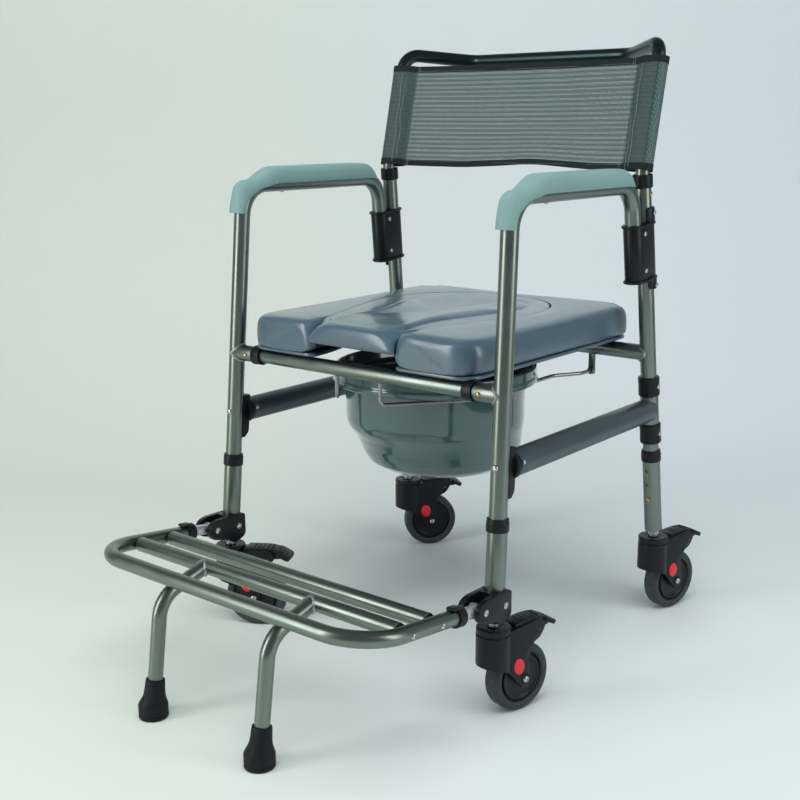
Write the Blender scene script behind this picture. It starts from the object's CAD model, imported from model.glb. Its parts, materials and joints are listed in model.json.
"""Dresses the wheeled commode chair: fine tubes, casters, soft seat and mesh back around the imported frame.

Lengths are in metres. Positions are written in the drawing frame, whose X = 0 is the chair's middle plane
and whose Z = 0 is the floor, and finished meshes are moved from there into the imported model's frame.
"""

import json
import math

import bmesh
import bpy
from mathutils import Matrix, Vector

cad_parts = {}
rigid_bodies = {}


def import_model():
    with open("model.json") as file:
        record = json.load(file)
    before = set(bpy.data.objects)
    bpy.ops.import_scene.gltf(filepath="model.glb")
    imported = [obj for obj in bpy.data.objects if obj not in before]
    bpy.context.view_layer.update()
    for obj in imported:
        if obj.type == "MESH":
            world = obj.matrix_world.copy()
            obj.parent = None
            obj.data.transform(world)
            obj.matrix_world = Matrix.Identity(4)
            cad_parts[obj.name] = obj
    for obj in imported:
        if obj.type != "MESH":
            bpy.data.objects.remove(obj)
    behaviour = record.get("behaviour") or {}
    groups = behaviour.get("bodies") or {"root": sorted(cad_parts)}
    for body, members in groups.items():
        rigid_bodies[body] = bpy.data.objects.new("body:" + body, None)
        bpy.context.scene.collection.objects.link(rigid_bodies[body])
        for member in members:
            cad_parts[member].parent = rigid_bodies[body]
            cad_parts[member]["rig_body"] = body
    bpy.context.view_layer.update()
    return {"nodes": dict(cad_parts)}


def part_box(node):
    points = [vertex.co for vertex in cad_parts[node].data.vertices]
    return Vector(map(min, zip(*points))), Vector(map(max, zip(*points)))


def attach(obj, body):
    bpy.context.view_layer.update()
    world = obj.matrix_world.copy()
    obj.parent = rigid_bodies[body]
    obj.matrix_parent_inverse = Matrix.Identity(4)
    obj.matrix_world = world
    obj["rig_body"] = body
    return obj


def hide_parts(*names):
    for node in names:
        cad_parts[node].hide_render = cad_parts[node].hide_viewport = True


bl_info = {
    "name": "Wheeled Commode Chair",
    "version": (1, 0, 0),
    "blender": (4, 5, 0),
    "location": "View3D > Sidebar > Chair",
    "description": "Builds the dressed pieces of a wheeled commode chair round its frame",
    "category": "Object",
}

for startup in list(bpy.data.objects):
    bpy.data.objects.remove(startup)
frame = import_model()

# Sections and heights that the chair's tubes share. FIT is the play round a tube that another piece holds
TUBE = 0.0127
LOWER_LEG = 0.0143
RAIL = 0.019
CROSSBAR = 0.011
HOOP = 0.0111
SLEEVE = 0.0146
FIT = 0.0002
ROUND_TUBE = TUBE + FIT
REST_LEG = 0.0105
CROSSBAR_Y = -0.2044
CROSSBAR_Z = 0.4556
REAR_TUBE = Vector((0, 0.2037, 0.4515))
ARM_Z = 0.718
RAIL_Z = 0.357
UPRIGHT_TOP = 0.7232
STEM_Z = 0.14
INNER_TUBE_END = 0.195
ARM_LEG_AHEAD = 0.0346
ARM_BEND = 0.05
TAB_X = 0.157
HOLE_PITCH = 0.0254
TURN = 2 * math.pi
SIDES = (("left", 1), ("right", -1))
RIGHT = Vector((1, 0, 0))
REAR = Vector((0, 1, 0))
UP = Vector((0, 0, 1))


def middle_of(node):
    low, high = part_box(node)
    return (low + high) / 2


HOME = Matrix.Translation(middle_of("front_crossbar") - Vector((0, CROSSBAR_Y, CROSSBAR_Z)))
BODY_OF = {node: placed["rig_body"] for node, placed in frame["nodes"].items()}


# Lines of the frame
SPLAY = 0.0215
FRONT_LEAN = 0.078
REAR_LEAN = -0.111


def in_side(y, z):
    """A point of the left side's plane, which leans in towards the top."""
    return Vector((0.2579 - SPLAY * (z - 0.45), y, z))


def front_leg(z):
    return in_side(-0.2048 + FRONT_LEAN * (z - 0.45), z)


def rear_leg(z):
    return in_side(0.2048 + REAR_LEAN * (z - 0.45), z)


FRONT_AXIS = (front_leg(1) - front_leg(0)).normalized()
REAR_AXIS = (rear_leg(1) - rear_leg(0)).normalized()
OUTWARD = Vector((1, 0, SPLAY)).normalized()
FORWARD = Vector((0, -1, REAR_LEAN)).normalized()
FRONT_BACK = Vector((0, 1, -FRONT_LEAN)).normalized()


# Sizes and colours that a user would change
def length(name, description, value):
    return bpy.props.FloatProperty(
        name=name, description=description, default=value, subtype="DISTANCE", unit="LENGTH"
    )


class ChairSizes(bpy.types.PropertyGroup):
    sides: bpy.props.IntProperty(
        name="Round Sides", description="Faces round each tube", default=40, min=12, max=96
    )
    swell: length("Cushion Swell", "How far the padded pieces may swell", 0.001)
    weave: length("Weave Pitch", "Distance between threads of the back", 0.0021)


def colour(name, description, value):
    return bpy.props.FloatVectorProperty(
        name=name, description=description, default=value, subtype="COLOR", size=3, min=0, max=1
    )


class ChairColours(bpy.types.PropertyGroup):
    tube: colour("Tube", "Satin metallic paint of the frame", (0.203, 0.241, 0.213))
    rail: colour("Side Rail", "Paint of the thick side rails", (0.088, 0.118, 0.13))
    vinyl: colour("Vinyl", "Cover of the seat", (0.06, 0.11, 0.146))
    foam: colour("Arm Foam", "Skin of the arm pads", (0.196, 0.335, 0.325))
    pan: colour("Pan", "Glossy plastic of the pan", (0.052, 0.107, 0.105))
    thread: colour("Thread", "Coated thread of the back", (0.034, 0.058, 0.059))
    stitch: colour("Stitches", "Sewing thread of the back", (0.26, 0.31, 0.31))
    plastic: colour("Black Plastic", "Moulded collars, forks and pedals", (0.0055, 0.0075, 0.0085))
    tread: colour("Tread", "Grey rubber of the tyres", (0.034, 0.042, 0.044))
    mark: colour("Brake Mark", "Red disc on each caster", (0.82, 0.018, 0.03))
    steel: colour("Zinc", "Plated screws and rods", (0.6, 0.61, 0.62))
    brass: colour("Brass", "Snap buttons", (0.72, 0.42, 0.13))
    floor: colour("Floor", "Floor and backdrop on the left", (0.64, 0.698, 0.64))
    floor_right: colour("Floor Right", "Floor and backdrop on the right", (0.655, 0.722, 0.745))


def sizes():
    return bpy.context.scene.chair_sizes


def colours():
    return bpy.context.scene.chair_colours


# Shader maths
class Value:
    """A socket that takes part in arithmetic: every operator adds a Math node."""

    def __init__(self, graph, socket):
        self.graph = graph
        self.socket = socket

    def math(self, operation, *others):
        inputs = dict(enumerate((self, *others)))
        return self.graph.node("ShaderNodeMath", inputs, {"operation": operation})

    def __add__(self, other):
        return self.math("ADD", other)

    def __sub__(self, other):
        return self.math("SUBTRACT", other)

    def __mul__(self, other):
        return self.math("MULTIPLY", other)

    def __rsub__(self, other):
        return (self * -1) + other

    def __gt__(self, other):
        return self.math("GREATER_THAN", other)

    def __lt__(self, other):
        return self.math("LESS_THAN", other)

    def __abs__(self):
        return self.math("ABSOLUTE")

    __radd__ = __add__
    __rmul__ = __mul__


class Graph:
    """A material whose nodes are added one call at a time."""

    def __init__(self, name):
        self.material = bpy.data.materials.new(name)
        self.material.use_nodes = True
        self.material.node_tree.nodes.clear()

    def node(self, kind, inputs=None, settings=None, output=0):
        made = self.material.node_tree.nodes.new(kind)
        for key, value in (settings or {}).items():
            setattr(made, key, value)
        for key, value in (inputs or {}).items():
            if isinstance(value, Value):
                self.material.node_tree.links.new(value.socket, made.inputs[key])
            else:
                made.inputs[key].default_value = value
        return Value(self, made.outputs[output] if made.outputs else None)

    def place(self):
        return self.node("ShaderNodeTexCoord", output=3)

    def noise(self, scale, detail=2.0, vector=None, roughness=0.5):
        inputs = {"Vector": vector or self.place(), "Scale": scale, "Detail": detail, "Roughness": roughness}
        return self.node("ShaderNodeTexNoise", inputs)

    def stretched(self, scale):
        return self.node("ShaderNodeMapping", {"Vector": self.place(), "Scale": scale})

    def cells(self, scale, feature="F1"):
        inputs = {"Vector": self.place(), "Scale": scale}
        return self.node("ShaderNodeTexVoronoi", inputs, {"feature": feature})

    def parts_of(self, vector):
        split = self.node("ShaderNodeSeparateXYZ", {0: vector}).socket.node
        return [Value(self, socket) for socket in split.outputs]

    def ramp(self, value, low, high, start=0.0, end=1.0):
        inputs = {"Value": value, "From Min": low, "From Max": high, "To Min": start, "To Max": end}
        return self.node("ShaderNodeMapRange", inputs, {"interpolation_type": "SMOOTHSTEP"})

    def blend(self, mask, first, second):
        ends = [end if isinstance(end, Value) else (*end, 1) for end in (first, second)]
        return self.node("ShaderNodeMix", {0: mask, 6: ends[0], 7: ends[1]}, {"data_type": "RGBA"}, 2)

    def bump(self, height, distance, strength=1.0):
        return self.node("ShaderNodeBump", {"Height": height, "Distance": distance, "Strength": strength})

    def surface(self, **sockets):
        """Connects the principled shader and hands back the material. A name's underscores are spaces."""
        inputs = {name.replace("_", " "): value for name, value in sockets.items()}
        for name, value in inputs.items():
            if not isinstance(value, Value) and hasattr(value, "__len__"):
                inputs[name] = (*value, 1)
        shader = self.node("ShaderNodeBsdfPrincipled", inputs)
        self.node("ShaderNodeOutputMaterial", {"Surface": shader})
        return self.material


def scaled(shade, factor):
    return tuple(min(1.0, part * factor) for part in shade)


# Finishes
PUSH_BAR_Z = 0.895
PUSH_BAR_SHADE = (0.045, 0.068, 0.074)


def satin_paint(name, shade, metallic, rough, dark_from=None):
    """Paint with metal flakes. From a height of dark_from up, on the push bar, it is darker."""
    graph = Graph(name)
    drift = graph.noise(7.0, 3.0)
    flakes = graph.noise(3200.0, 1.0)
    base = graph.blend(drift * 0.7 + flakes * 0.3, scaled(shade, 0.86), scaled(shade, 1.14))
    if dark_from:
        height = graph.parts_of(graph.place())[2]
        base = graph.blend(graph.ramp(height, dark_from, dark_from + 0.01), base, PUSH_BAR_SHADE)
    roughness = graph.ramp(graph.noise(26.0, 4.0), 0.3, 0.7, rough - 0.03, rough + 0.04)
    return graph.surface(
        Base_Color=base, Metallic=metallic, Roughness=roughness, Normal=graph.bump(flakes, 0.00003, 0.3)
    )


def moulded(name, shade, rough, grain=1500.0, depth=0.00006, coat=0.0):
    graph = Graph(name)
    texture = graph.cells(grain)
    dust = graph.ramp(graph.noise(38.0, 6.0, roughness=0.65), 0.58, 0.8)
    base = graph.blend(dust * 0.35, scaled(shade, 0.9), scaled(shade, 1.6))
    roughness = graph.ramp(graph.noise(120.0, 3.0), 0.25, 0.75, rough - 0.06, rough + 0.08)
    return graph.surface(
        Base_Color=base, Roughness=roughness, Coat_Weight=coat, Specular_IOR_Level=0.28,
        Normal=graph.bump(texture, depth, 0.5),
    )


def tread():
    graph = Graph("tread")
    scuff = graph.ramp(graph.noise(150.0, 8.0, roughness=0.7), 0.5, 0.72)
    base = graph.blend(scuff, colours().tread, scaled(colours().tread, 1.7))
    grit = graph.noise(1400.0, 3.0)
    relief = graph.bump(grit, 0.0001, 0.6)
    return graph.surface(Base_Color=base, Roughness=0.58, Specular_IOR_Level=0.3, Normal=relief)


def plated(name, shade, rough):
    graph = Graph(name)
    streaks = graph.noise(1.0, 4.0, graph.stretched((900.0, 900.0, 60.0)))
    tarnish = graph.ramp(graph.noise(300.0, 5.0), 0.45, 0.8)
    base = graph.blend(tarnish * 0.5, shade, scaled(shade, 0.6))
    roughness = graph.ramp(streaks, 0.2, 0.8, rough - 0.08, rough + 0.12)
    relief = graph.bump(streaks, 0.00003, 0.4)
    return graph.surface(Base_Color=base, Metallic=1.0, Roughness=roughness, Normal=relief)


def weld():
    graph = Graph("weld")
    ripples = graph.noise(520.0, 2.0)
    base = graph.blend(ripples, scaled(colours().tube, 0.9), colours().steel)
    relief = graph.bump(ripples, 0.0006, 0.8)
    return graph.surface(Base_Color=base, Metallic=0.9, Roughness=0.36, Normal=relief)


def vinyl():
    graph = Graph("vinyl")
    grain = graph.cells(1050.0, "DISTANCE_TO_EDGE")
    creases = graph.ramp(grain, 0.0, 0.12)
    drift = graph.noise(6.0, 3.0)
    base = graph.blend(drift, scaled(colours().vinyl, 0.92), scaled(colours().vinyl, 1.09))
    base = graph.blend(1 - creases, base, scaled(colours().vinyl, 0.8))
    roughness = graph.ramp(graph.noise(14.0, 4.0), 0.3, 0.7, 0.3, 0.37)
    soft = graph.noise(55.0, 2.0)
    return graph.surface(
        Base_Color=base, Roughness=roughness, Coat_Weight=0.8, Coat_Roughness=0.2,
        Normal=graph.bump(creases * 0.3 + soft, 0.0001, 0.5),
    )


def arm_foam():
    graph = Graph("arm_foam")
    skin = graph.noise(1700.0, 3.0)
    pores = graph.cells(2300.0)
    drift = graph.noise(18.0, 4.0)
    base = graph.blend(drift * 0.6 + skin * 0.4, scaled(colours().foam, 0.86), scaled(colours().foam, 1.14))
    roughness = graph.ramp(drift, 0.3, 0.7, 0.5, 0.62)
    return graph.surface(Base_Color=base, Roughness=roughness, Normal=graph.bump(skin + pores, 0.00014, 0.7))


def pan_plastic():
    graph = Graph("pan_plastic")
    drift = graph.noise(9.0, 3.0)
    wear = graph.ramp(graph.noise(1.0, 5.0, graph.stretched((60.0, 60.0, 700.0))), 0.62, 0.8)
    base = graph.blend(drift, scaled(colours().pan, 0.93), scaled(colours().pan, 1.08))
    roughness = graph.ramp(wear, 0.0, 1.0, 0.12, 0.28)
    relief = graph.bump(drift, 0.0004, 0.3)
    return graph.surface(Base_Color=base, Roughness=roughness, Coat_Weight=0.8, Normal=relief)


def mesh_cloth():
    """Open leno weave on the piece's own UV map, in metres: threads are solid and the gaps see-through."""
    graph = Graph("mesh_cloth")
    pitch = sizes().weave
    across, along, _ = graph.parts_of(graph.node("ShaderNodeUVMap"))
    warp = abs((across * (1 / pitch)).math("FRACT") - 0.5)
    weft = abs((along * (1 / pitch)).math("FRACT") - 0.5)
    gap = (1 - graph.ramp(warp, 0.31, 0.39)) * (1 - graph.ramp(weft, 0.29, 0.37))
    checks = ((across * (0.5 / pitch)).math("FRACT") > 0.5) + ((along * (0.5 / pitch)).math("FRACT") > 0.5)
    bands = graph.ramp(abs((along * 128.0).math("FRACT") - 0.5), 0.12, 0.38)
    _, total = sling_path()
    sleeve = graph.ramp(abs(across - total / 2), STITCH_X + 0.014, STITCH_X + 0.022)
    first = abs(((across + along * 0.62) * 210.0).math("FRACT") - 0.5)
    second = abs(((across - along * 0.62) * 210.0).math("FRACT") - 0.5)
    diamonds = graph.ramp(first.math("MAXIMUM", second), 0.3, 0.42)
    gap = gap * (1 - bands * 0.45) * (1 - sleeve * 0.45)
    shade = checks * 0.25 + bands * -0.2 + 0.38 - sleeve * 0.3
    base = graph.blend(shade, scaled(colours().thread, 0.85), scaled(colours().thread, 2.3))
    outer = sleeve * (across < 0.075)
    base = graph.blend(outer * diamonds * 0.55, base, scaled(colours().thread, 4.5))
    relief = graph.bump(warp.math("MAXIMUM", weft), 0.0005, 0.8)
    return graph.surface(Base_Color=base, Roughness=0.42, Alpha=1 - gap * 0.93, Normal=relief)


def hem_cloth():
    graph = Graph("hem_cloth")
    across, _, _ = graph.parts_of(graph.node("ShaderNodeUVMap"))
    ribs = abs((across * 620.0).math("FRACT") - 0.5)
    base = graph.blend(ribs * 2, scaled(colours().thread, 0.16), scaled(colours().thread, 0.38))
    relief = graph.bump(ribs, 0.0004, 0.7)
    return graph.surface(Base_Color=base, Roughness=0.7, Specular_IOR_Level=0.25, Normal=relief)


# Finishes that share a recipe: (recipe, shade, its factor, the recipe's other values)
SHARED = {
    "tube_paint": (satin_paint, "tube", 1, 1.0, 0.32, PUSH_BAR_Z),
    "rail_paint": (satin_paint, "rail", 1, 0.7, 0.38),
    "aluminium": (satin_paint, "steel", 1.25, 0.9, 0.42),
    "zinc": (plated, "steel", 1, 0.26),
    "rod_steel": (plated, "steel", 0.55, 0.32),
    "brass": (plated, "brass", 1, 0.24),
    "black_plastic": (moulded, "plastic", 1, 0.36),
    "hub_plastic": (moulded, "plastic", 1.2, 0.34),
    "rubber": (moulded, "plastic", 1.1, 0.62, 900.0, 0.00012),
    "brake_mark": (moulded, "mark", 1, 0.32, 1200.0, 0.00003, 0.3),
    "base_cloth": (moulded, "vinyl", 0.55, 0.6, 1900.0),
    "sewing_thread": (moulded, "stitch", 1, 0.5, 2600.0),
}
OWN = {maker.__name__: maker for maker in (tread, weld, vinyl, arm_foam, pan_plastic, mesh_cloth, hem_cloth)}
MADE = {}


def finish(name):
    """The material of that finish, made once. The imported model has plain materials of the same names."""
    if name not in MADE:
        if name in OWN:
            MADE[name] = OWN[name]()
        else:
            recipe, shade, factor, *values = SHARED[name]
            MADE[name] = recipe(name, scaled(getattr(colours(), shade), factor), *values)
    return MADE[name]


# Meshes
def mesh_from(bm):
    bmesh.ops.remove_doubles(bm, verts=bm.verts, dist=0.000001)
    bmesh.ops.recalc_face_normals(bm, faces=bm.faces)
    mesh = bpy.data.meshes.new("shape")
    bm.to_mesh(mesh)
    bm.free()
    return mesh


def moved(mesh, matrix):
    """A copy of mesh carried through matrix, with its faces still outward."""
    other = mesh.copy()
    other.transform(matrix)
    if matrix.determinant() < 0:
        other.flip_normals()
    return other


def aligned(place, way):
    """Carries a mesh made along Z to place, with its Z along way."""
    return Matrix.Translation(place) @ UP.rotation_difference(Vector(way)).to_matrix().to_4x4()


def eased(points, radius, closed=True, steps=3):
    """Rounds the corners of a flat outline, each by radius or by as much as its sides leave room for."""
    flat = [Vector(point) for point in points]
    line = []
    for n, corner in enumerate(flat):
        before = flat[n - 1] - corner
        after = flat[(n + 1) % len(flat)] - corner
        ends = not closed and n in (0, len(flat) - 1)
        reach = min(radius, before.length * 0.45, after.length * 0.45)
        if ends or reach <= 0 or before.length == 0 or after.length == 0:
            line.append(tuple(corner))
            continue
        first = corner + before.normalized() * reach
        last = corner + after.normalized() * reach
        for k in range(steps + 1):
            share = k / steps
            point = first * (1 - share) ** 2 + corner * 2 * share * (1 - share) + last * share**2
            line.append(tuple(point))
    return line


def lathe(profile, easing=0.0, steps=None):
    """A profile of (radius, height) pairs turned round Z. It starts and ends on the axis, or is closed."""
    on_axis = profile[0][0] == 0
    profile = eased(profile, easing, closed=not on_axis)
    bm = bmesh.new()
    line = [bm.verts.new((radius, 0, height)) for radius, height in profile]
    pairs = list(zip(line, line[1:])) + ([] if on_axis else [(line[-1], line[0])])
    edges = [bm.edges.new(pair) for pair in pairs]
    steps = steps or sizes().sides
    bmesh.ops.spin(bm, geom=line + edges, cent=(0, 0, 0), axis=UP, angle=TURN, steps=steps, use_merge=True)
    return mesh_from(bm)


def disc_stack(radius, low, high, easing=0.0006, bore=0.0):
    """A ring or a plug with eased edges along Z."""
    if bore:
        return lathe(((bore, low), (radius, low), (radius, high), (bore, high)), easing)
    return lathe(((0, low), (radius, low), (radius, high), (0, high)), easing)


def ring(start, end, radius, easing=0.0006, bore=0.0):
    """The same between two points."""
    start = Vector(start)
    end = Vector(end)
    return moved(disc_stack(radius, 0, (end - start).length, easing, bore), aligned(start, end - start))


def prism(outline, low, high, axis, easing=0.0, corner=0.0):
    """An outline drawn out along an axis, its rims bevelled by easing and its corners rounded by corner."""
    spot = "XYZ".index(axis)
    way = (RIGHT, REAR, UP)[spot]
    bm = bmesh.new()
    corners = [(*flat[:spot], low, *flat[spot:]) for flat in eased(outline, corner)]
    face = bm.faces.new([bm.verts.new(point) for point in corners])
    drawn = bmesh.ops.extrude_face_region(bm, geom=[face])["geom"]
    far = [made for made in drawn if isinstance(made, bmesh.types.BMVert)]
    bmesh.ops.translate(bm, verts=far, vec=way * (high - low))
    if easing:
        rims = [edge for edge in bm.edges if abs((edge.verts[1].co - edge.verts[0].co).dot(way)) < 1e-7]
        bmesh.ops.bevel(
            bm, geom=rims, offset=easing, segments=2, profile=0.5, affect="EDGES", clamp_overlap=True
        )
    return mesh_from(bm)


def loft(rings, ends=True, round_trip=False):
    bm = bmesh.new()
    loops = [[bm.verts.new(point) for point in points] for points in rings]
    for here, there in zip(loops, loops[1:] + (loops[:1] if round_trip else [])):
        for n in range(len(here)):
            bm.faces.new((here[n - 1], here[n], there[n], there[n - 1]))
    if ends and not round_trip:
        bm.faces.new(loops[0])
        bm.faces.new(loops[-1])
    return mesh_from(bm)


def spline(points, steps):
    """Points along a smooth line through the given ones, which may be of any dimension."""
    points = [Vector(point) for point in points]
    line = []
    for n in range(len(points) - 1):
        before = points[max(n - 1, 0)]
        here, there = points[n], points[n + 1]
        after = points[min(n + 2, len(points) - 1)]
        for k in range(steps):
            t = k / steps
            line.append(
                0.5 * (2 * here + (there - before) * t + (2 * before - 5 * here + 4 * there - after) * t * t
                       + (3 * here - 3 * there + after - before) * t**3)
            )
    return line + [points[-1]]


def evenly(line, count):
    """Points that cut a line into count even steps, and its length."""
    lengths = [0.0]
    for here, there in zip(line, line[1:]):
        lengths.append(lengths[-1] + (there - here).length)
    even = []
    k = 0
    for n in range(count + 1):
        goal = lengths[-1] * n / count
        while k < len(line) - 2 and lengths[k + 1] < goal:
            k += 1
        share = (goal - lengths[k]) / (lengths[k + 1] - lengths[k])
        even.append(line[k].lerp(line[k + 1], min(1.0, share)))
    return even, lengths[-1]


def oval(count, wide, tall=None):
    """Evenly turned pairs round an oval, or round a circle of radius wide."""
    turns = [TURN * n / count for n in range(count)]
    return [(wide * math.cos(turn), (tall or wide) * math.sin(turn)) for turn in turns]


def evaluated(carrier):
    """The finished mesh of an object with modifiers, which is then removed."""
    bpy.context.view_layer.update()
    graph = bpy.context.evaluated_depsgraph_get()
    mesh = bpy.data.meshes.new_from_object(carrier.evaluated_get(graph))
    bpy.data.objects.remove(carrier)
    return mesh


def carrier_of(mesh, name="carrier"):
    carrier = bpy.data.objects.new(name, mesh)
    bpy.context.scene.collection.objects.link(carrier)
    return carrier


def carved(mesh, *cutters):
    """mesh less its cutters."""
    carrier = carrier_of(mesh)
    tools = [carrier_of(cutter, "cutter") for cutter in cutters]
    for tool in tools:
        cut = carrier.modifiers.new("cut", "BOOLEAN")
        cut.operation = "DIFFERENCE"
        cut.solver = "EXACT"
        cut.object = tool
    mesh = evaluated(carrier)
    for tool in tools:
        bpy.data.objects.remove(tool)
    return mesh


# Geometry node trees
class Tree:
    """A geometry node tree with named inputs, made one node at a time."""

    def __init__(self, name, inputs):
        self.tree = bpy.data.node_groups.new(name, "GeometryNodeTree")
        self.tree.interface.new_socket("Geometry", in_out="INPUT", socket_type="NodeSocketGeometry")
        for label, kind in inputs:
            self.tree.interface.new_socket(label, in_out="INPUT", socket_type=kind)
        self.tree.interface.new_socket("Geometry", in_out="OUTPUT", socket_type="NodeSocketGeometry")
        self.given = self.tree.nodes.new("NodeGroupInput").outputs

    def node(self, kind, inputs=None, settings=None):
        made = self.tree.nodes.new(kind)
        for key, value in (settings or {}).items():
            setattr(made, key, value)
        for key, value in (inputs or {}).items():
            if isinstance(value, bpy.types.NodeSocket):
                self.tree.links.new(value, made.inputs[key])
            else:
                made.inputs[key].default_value = value
        return made.outputs

    def attribute(self, name, kind="FLOAT"):
        return self.node("GeometryNodeInputNamedAttribute", {"Name": name}, {"data_type": kind})["Attribute"]

    def end(self, geometry):
        real = self.node("GeometryNodeRealizeInstances", {"Geometry": geometry})["Geometry"]
        painted = self.node("GeometryNodeSetMaterial", {"Geometry": real, "Material": self.given["Material"]})
        self.tree.links.new(painted["Geometry"], self.tree.nodes.new("NodeGroupOutput").inputs["Geometry"])
        return self.tree


def bent_tube_tree():
    """Rounds each corner of a line by its own bend attribute and sweeps a circle along it."""
    inputs = (("Radius", "NodeSocketFloat"), ("Sides", "NodeSocketInt"), ("Material", "NodeSocketMaterial"))
    tree = Tree("bent_tube", inputs)
    line = tree.node("GeometryNodeMeshToCurve", {"Mesh": tree.given["Geometry"]})["Curve"]
    fillet = {"Curve": line, "Radius": tree.attribute("bend"), "Count": 14, "Limit Radius": True}
    filleted = tree.node("GeometryNodeFilletCurve", fillet, {"mode": "POLY"})["Curve"]
    section = {"Resolution": tree.given["Sides"], "Radius": tree.given["Radius"]}
    circle = tree.node("GeometryNodeCurvePrimitiveCircle", section)["Curve"]
    sweep = {"Curve": filleted, "Profile Curve": circle, "Fill Caps": True}
    return tree.end(tree.node("GeometryNodeCurveToMesh", sweep)["Mesh"])


def scattered_tree():
    """Sets one small object on every point, turned along its way attribute and sized by its size."""
    tree = Tree("set_on_points", (("Object", "NodeSocketObject"), ("Material", "NodeSocketMaterial")))
    points = tree.node("GeometryNodeMeshToPoints", {"Mesh": tree.given["Geometry"]})["Points"]
    shape = tree.node("GeometryNodeObjectInfo", {"Object": tree.given["Object"]})["Geometry"]
    way = {"Vector": tree.attribute("way", "FLOAT_VECTOR")}
    turned = tree.node("FunctionNodeAlignEulerToVector", way, {"axis": "Z"})["Rotation"]
    inputs = {"Points": points, "Instance": shape, "Rotation": turned, "Scale": tree.attribute("size")}
    return tree.end(tree.node("GeometryNodeInstanceOnPoints", inputs)["Instances"])


def grown(mesh, maker, **values):
    """mesh after the named tree's modifier, with its inputs given by name."""
    tree = bpy.data.node_groups.get(maker.__name__) or maker()
    tree.name = maker.__name__
    carrier = carrier_of(mesh)
    modifier = carrier.modifiers.new("grow", "NODES")
    modifier.node_group = tree
    for item in tree.interface.items_tree:
        if item.in_out == "INPUT" and item.name in values:
            modifier[item.identifier] = values[item.name]
    return evaluated(carrier)


def swept(points, radius, bends=(), material="tube_paint", closed=False, sides=None):
    """A tube along points, with one bend radius for each inner corner."""
    mesh = bpy.data.meshes.new("line")
    count = len(points)
    edges = [(n, n + 1) for n in range(count - 1)] + ([(count - 1, 0)] if closed else [])
    mesh.from_pydata([tuple(point) for point in points], edges, [])
    bend = mesh.attributes.new("bend", "FLOAT", "POINT")
    for n, value in enumerate(bends):
        bend.data[n + 1].value = value
    return grown(
        mesh, bent_tube_tree, Radius=radius, Sides=sides or sizes().sides, Material=finish(material)
    )


def screw_head():
    """A pan head with a cross recess, of radius 1 along Z."""
    name = "screw_head"
    if name in bpy.data.objects:
        return bpy.data.objects[name]
    dome = lathe(((0, -0.2), (1.0, -0.2), (1.0, 0.12), (0.82, 0.42), (0.45, 0.58), (0, 0.62)), 0.12, 14)
    slot = prism(((-0.55, -0.11), (0.55, -0.11), (0.55, 0.11), (-0.55, 0.11)), 0.22, 1.0, "Z")
    made = carrier_of(carved(dome, slot, moved(slot, Matrix.Rotation(math.pi / 2, 4, "Z"))), name)
    made.hide_render = True
    return made


def scattered(spots, shape, material):
    """One mesh of copies of shape, from (place, way, size) in the drawing frame."""
    mesh = bpy.data.meshes.new("spots")
    mesh.from_pydata([tuple(place) for place, _, _ in spots], [], [])
    mesh.attributes.new("way", "FLOAT_VECTOR", "POINT")
    mesh.attributes.new("size", "FLOAT", "POINT")
    for n, (_, direction, scale) in enumerate(spots):
        mesh.attributes["way"].data[n].vector = Vector(direction).normalized()
        mesh.attributes["size"].data[n].value = scale
    return grown(mesh, scattered_tree, Object=shape, Material=finish(material))


def screws(spots):
    return scattered(spots, screw_head(), "zinc")


# Pieces
def piece(name, parts, body, replaces=(), slot=None, matrix=HOME, angle=35, twin=False):
    """Joins (mesh, finish) pairs to one object at the origin, which rides on body."""
    bm = bmesh.new()
    names = []
    for mesh, look in parts:
        if look not in names:
            names.append(look)
        start = len(bm.faces)
        bm.from_mesh(mesh)
        bm.faces.ensure_lookup_table()
        for face in bm.faces[start:]:
            face.material_index = names.index(look)
    mesh = bpy.data.meshes.new(name)
    bm.to_mesh(mesh)
    bm.free()
    carry = matrix @ Matrix.Scale(-1, 4, RIGHT) if twin else matrix
    mesh.transform(carry)
    if carry.determinant() < 0:
        mesh.flip_normals()
    for look in names:
        mesh.materials.append(finish(look))
    mesh.shade_smooth()
    mesh.set_sharp_from_angle(angle=math.radians(angle))
    made = bpy.data.objects.new(name, mesh)
    bpy.context.scene.collection.objects.link(made)
    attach(made, body)
    if replaces:
        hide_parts(*replaces)
    return made


def dress(node, parts, slot, **how):
    """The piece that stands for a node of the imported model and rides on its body."""
    return piece(node + "_fine", parts, BODY_OF[node], [node], slot, **how)


def twins(node, parts, slot):
    """The left node's piece and its mirrored right twin. The node's {} takes the side."""
    for side, sign in SIDES:
        dress(node.format(side), parts, slot, twin=sign < 0)


def loose_twins(name, parts):
    """The same for pieces that only ride on the frame."""
    for side, sign in SIDES:
        piece(name.format(side), parts, "frame", twin=sign < 0)


def weld_bead(centre, leg_point, radius):
    """A bead where a level tube of that radius meets a leg of the same size."""
    line = []
    for y, z in oval(28, radius):
        reach = math.sqrt(max(TUBE**2 - (centre.y + y - leg_point.y) ** 2, 0.0))
        line.append((leg_point.x - reach - SPLAY * z, centre.y + y, centre.z + z))
    return swept(line, 0.0026, material="weld", closed=True, sides=10)


def arm_line():
    return (
        front_leg(INNER_TUBE_END),
        in_side(front_leg(ARM_Z).y, ARM_Z),
        in_side(rear_leg(ARM_Z).y - ARM_LEG_AHEAD, ARM_Z),
        in_side(rear_leg(0.578).y - ARM_LEG_AHEAD, 0.578),
    )


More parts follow.
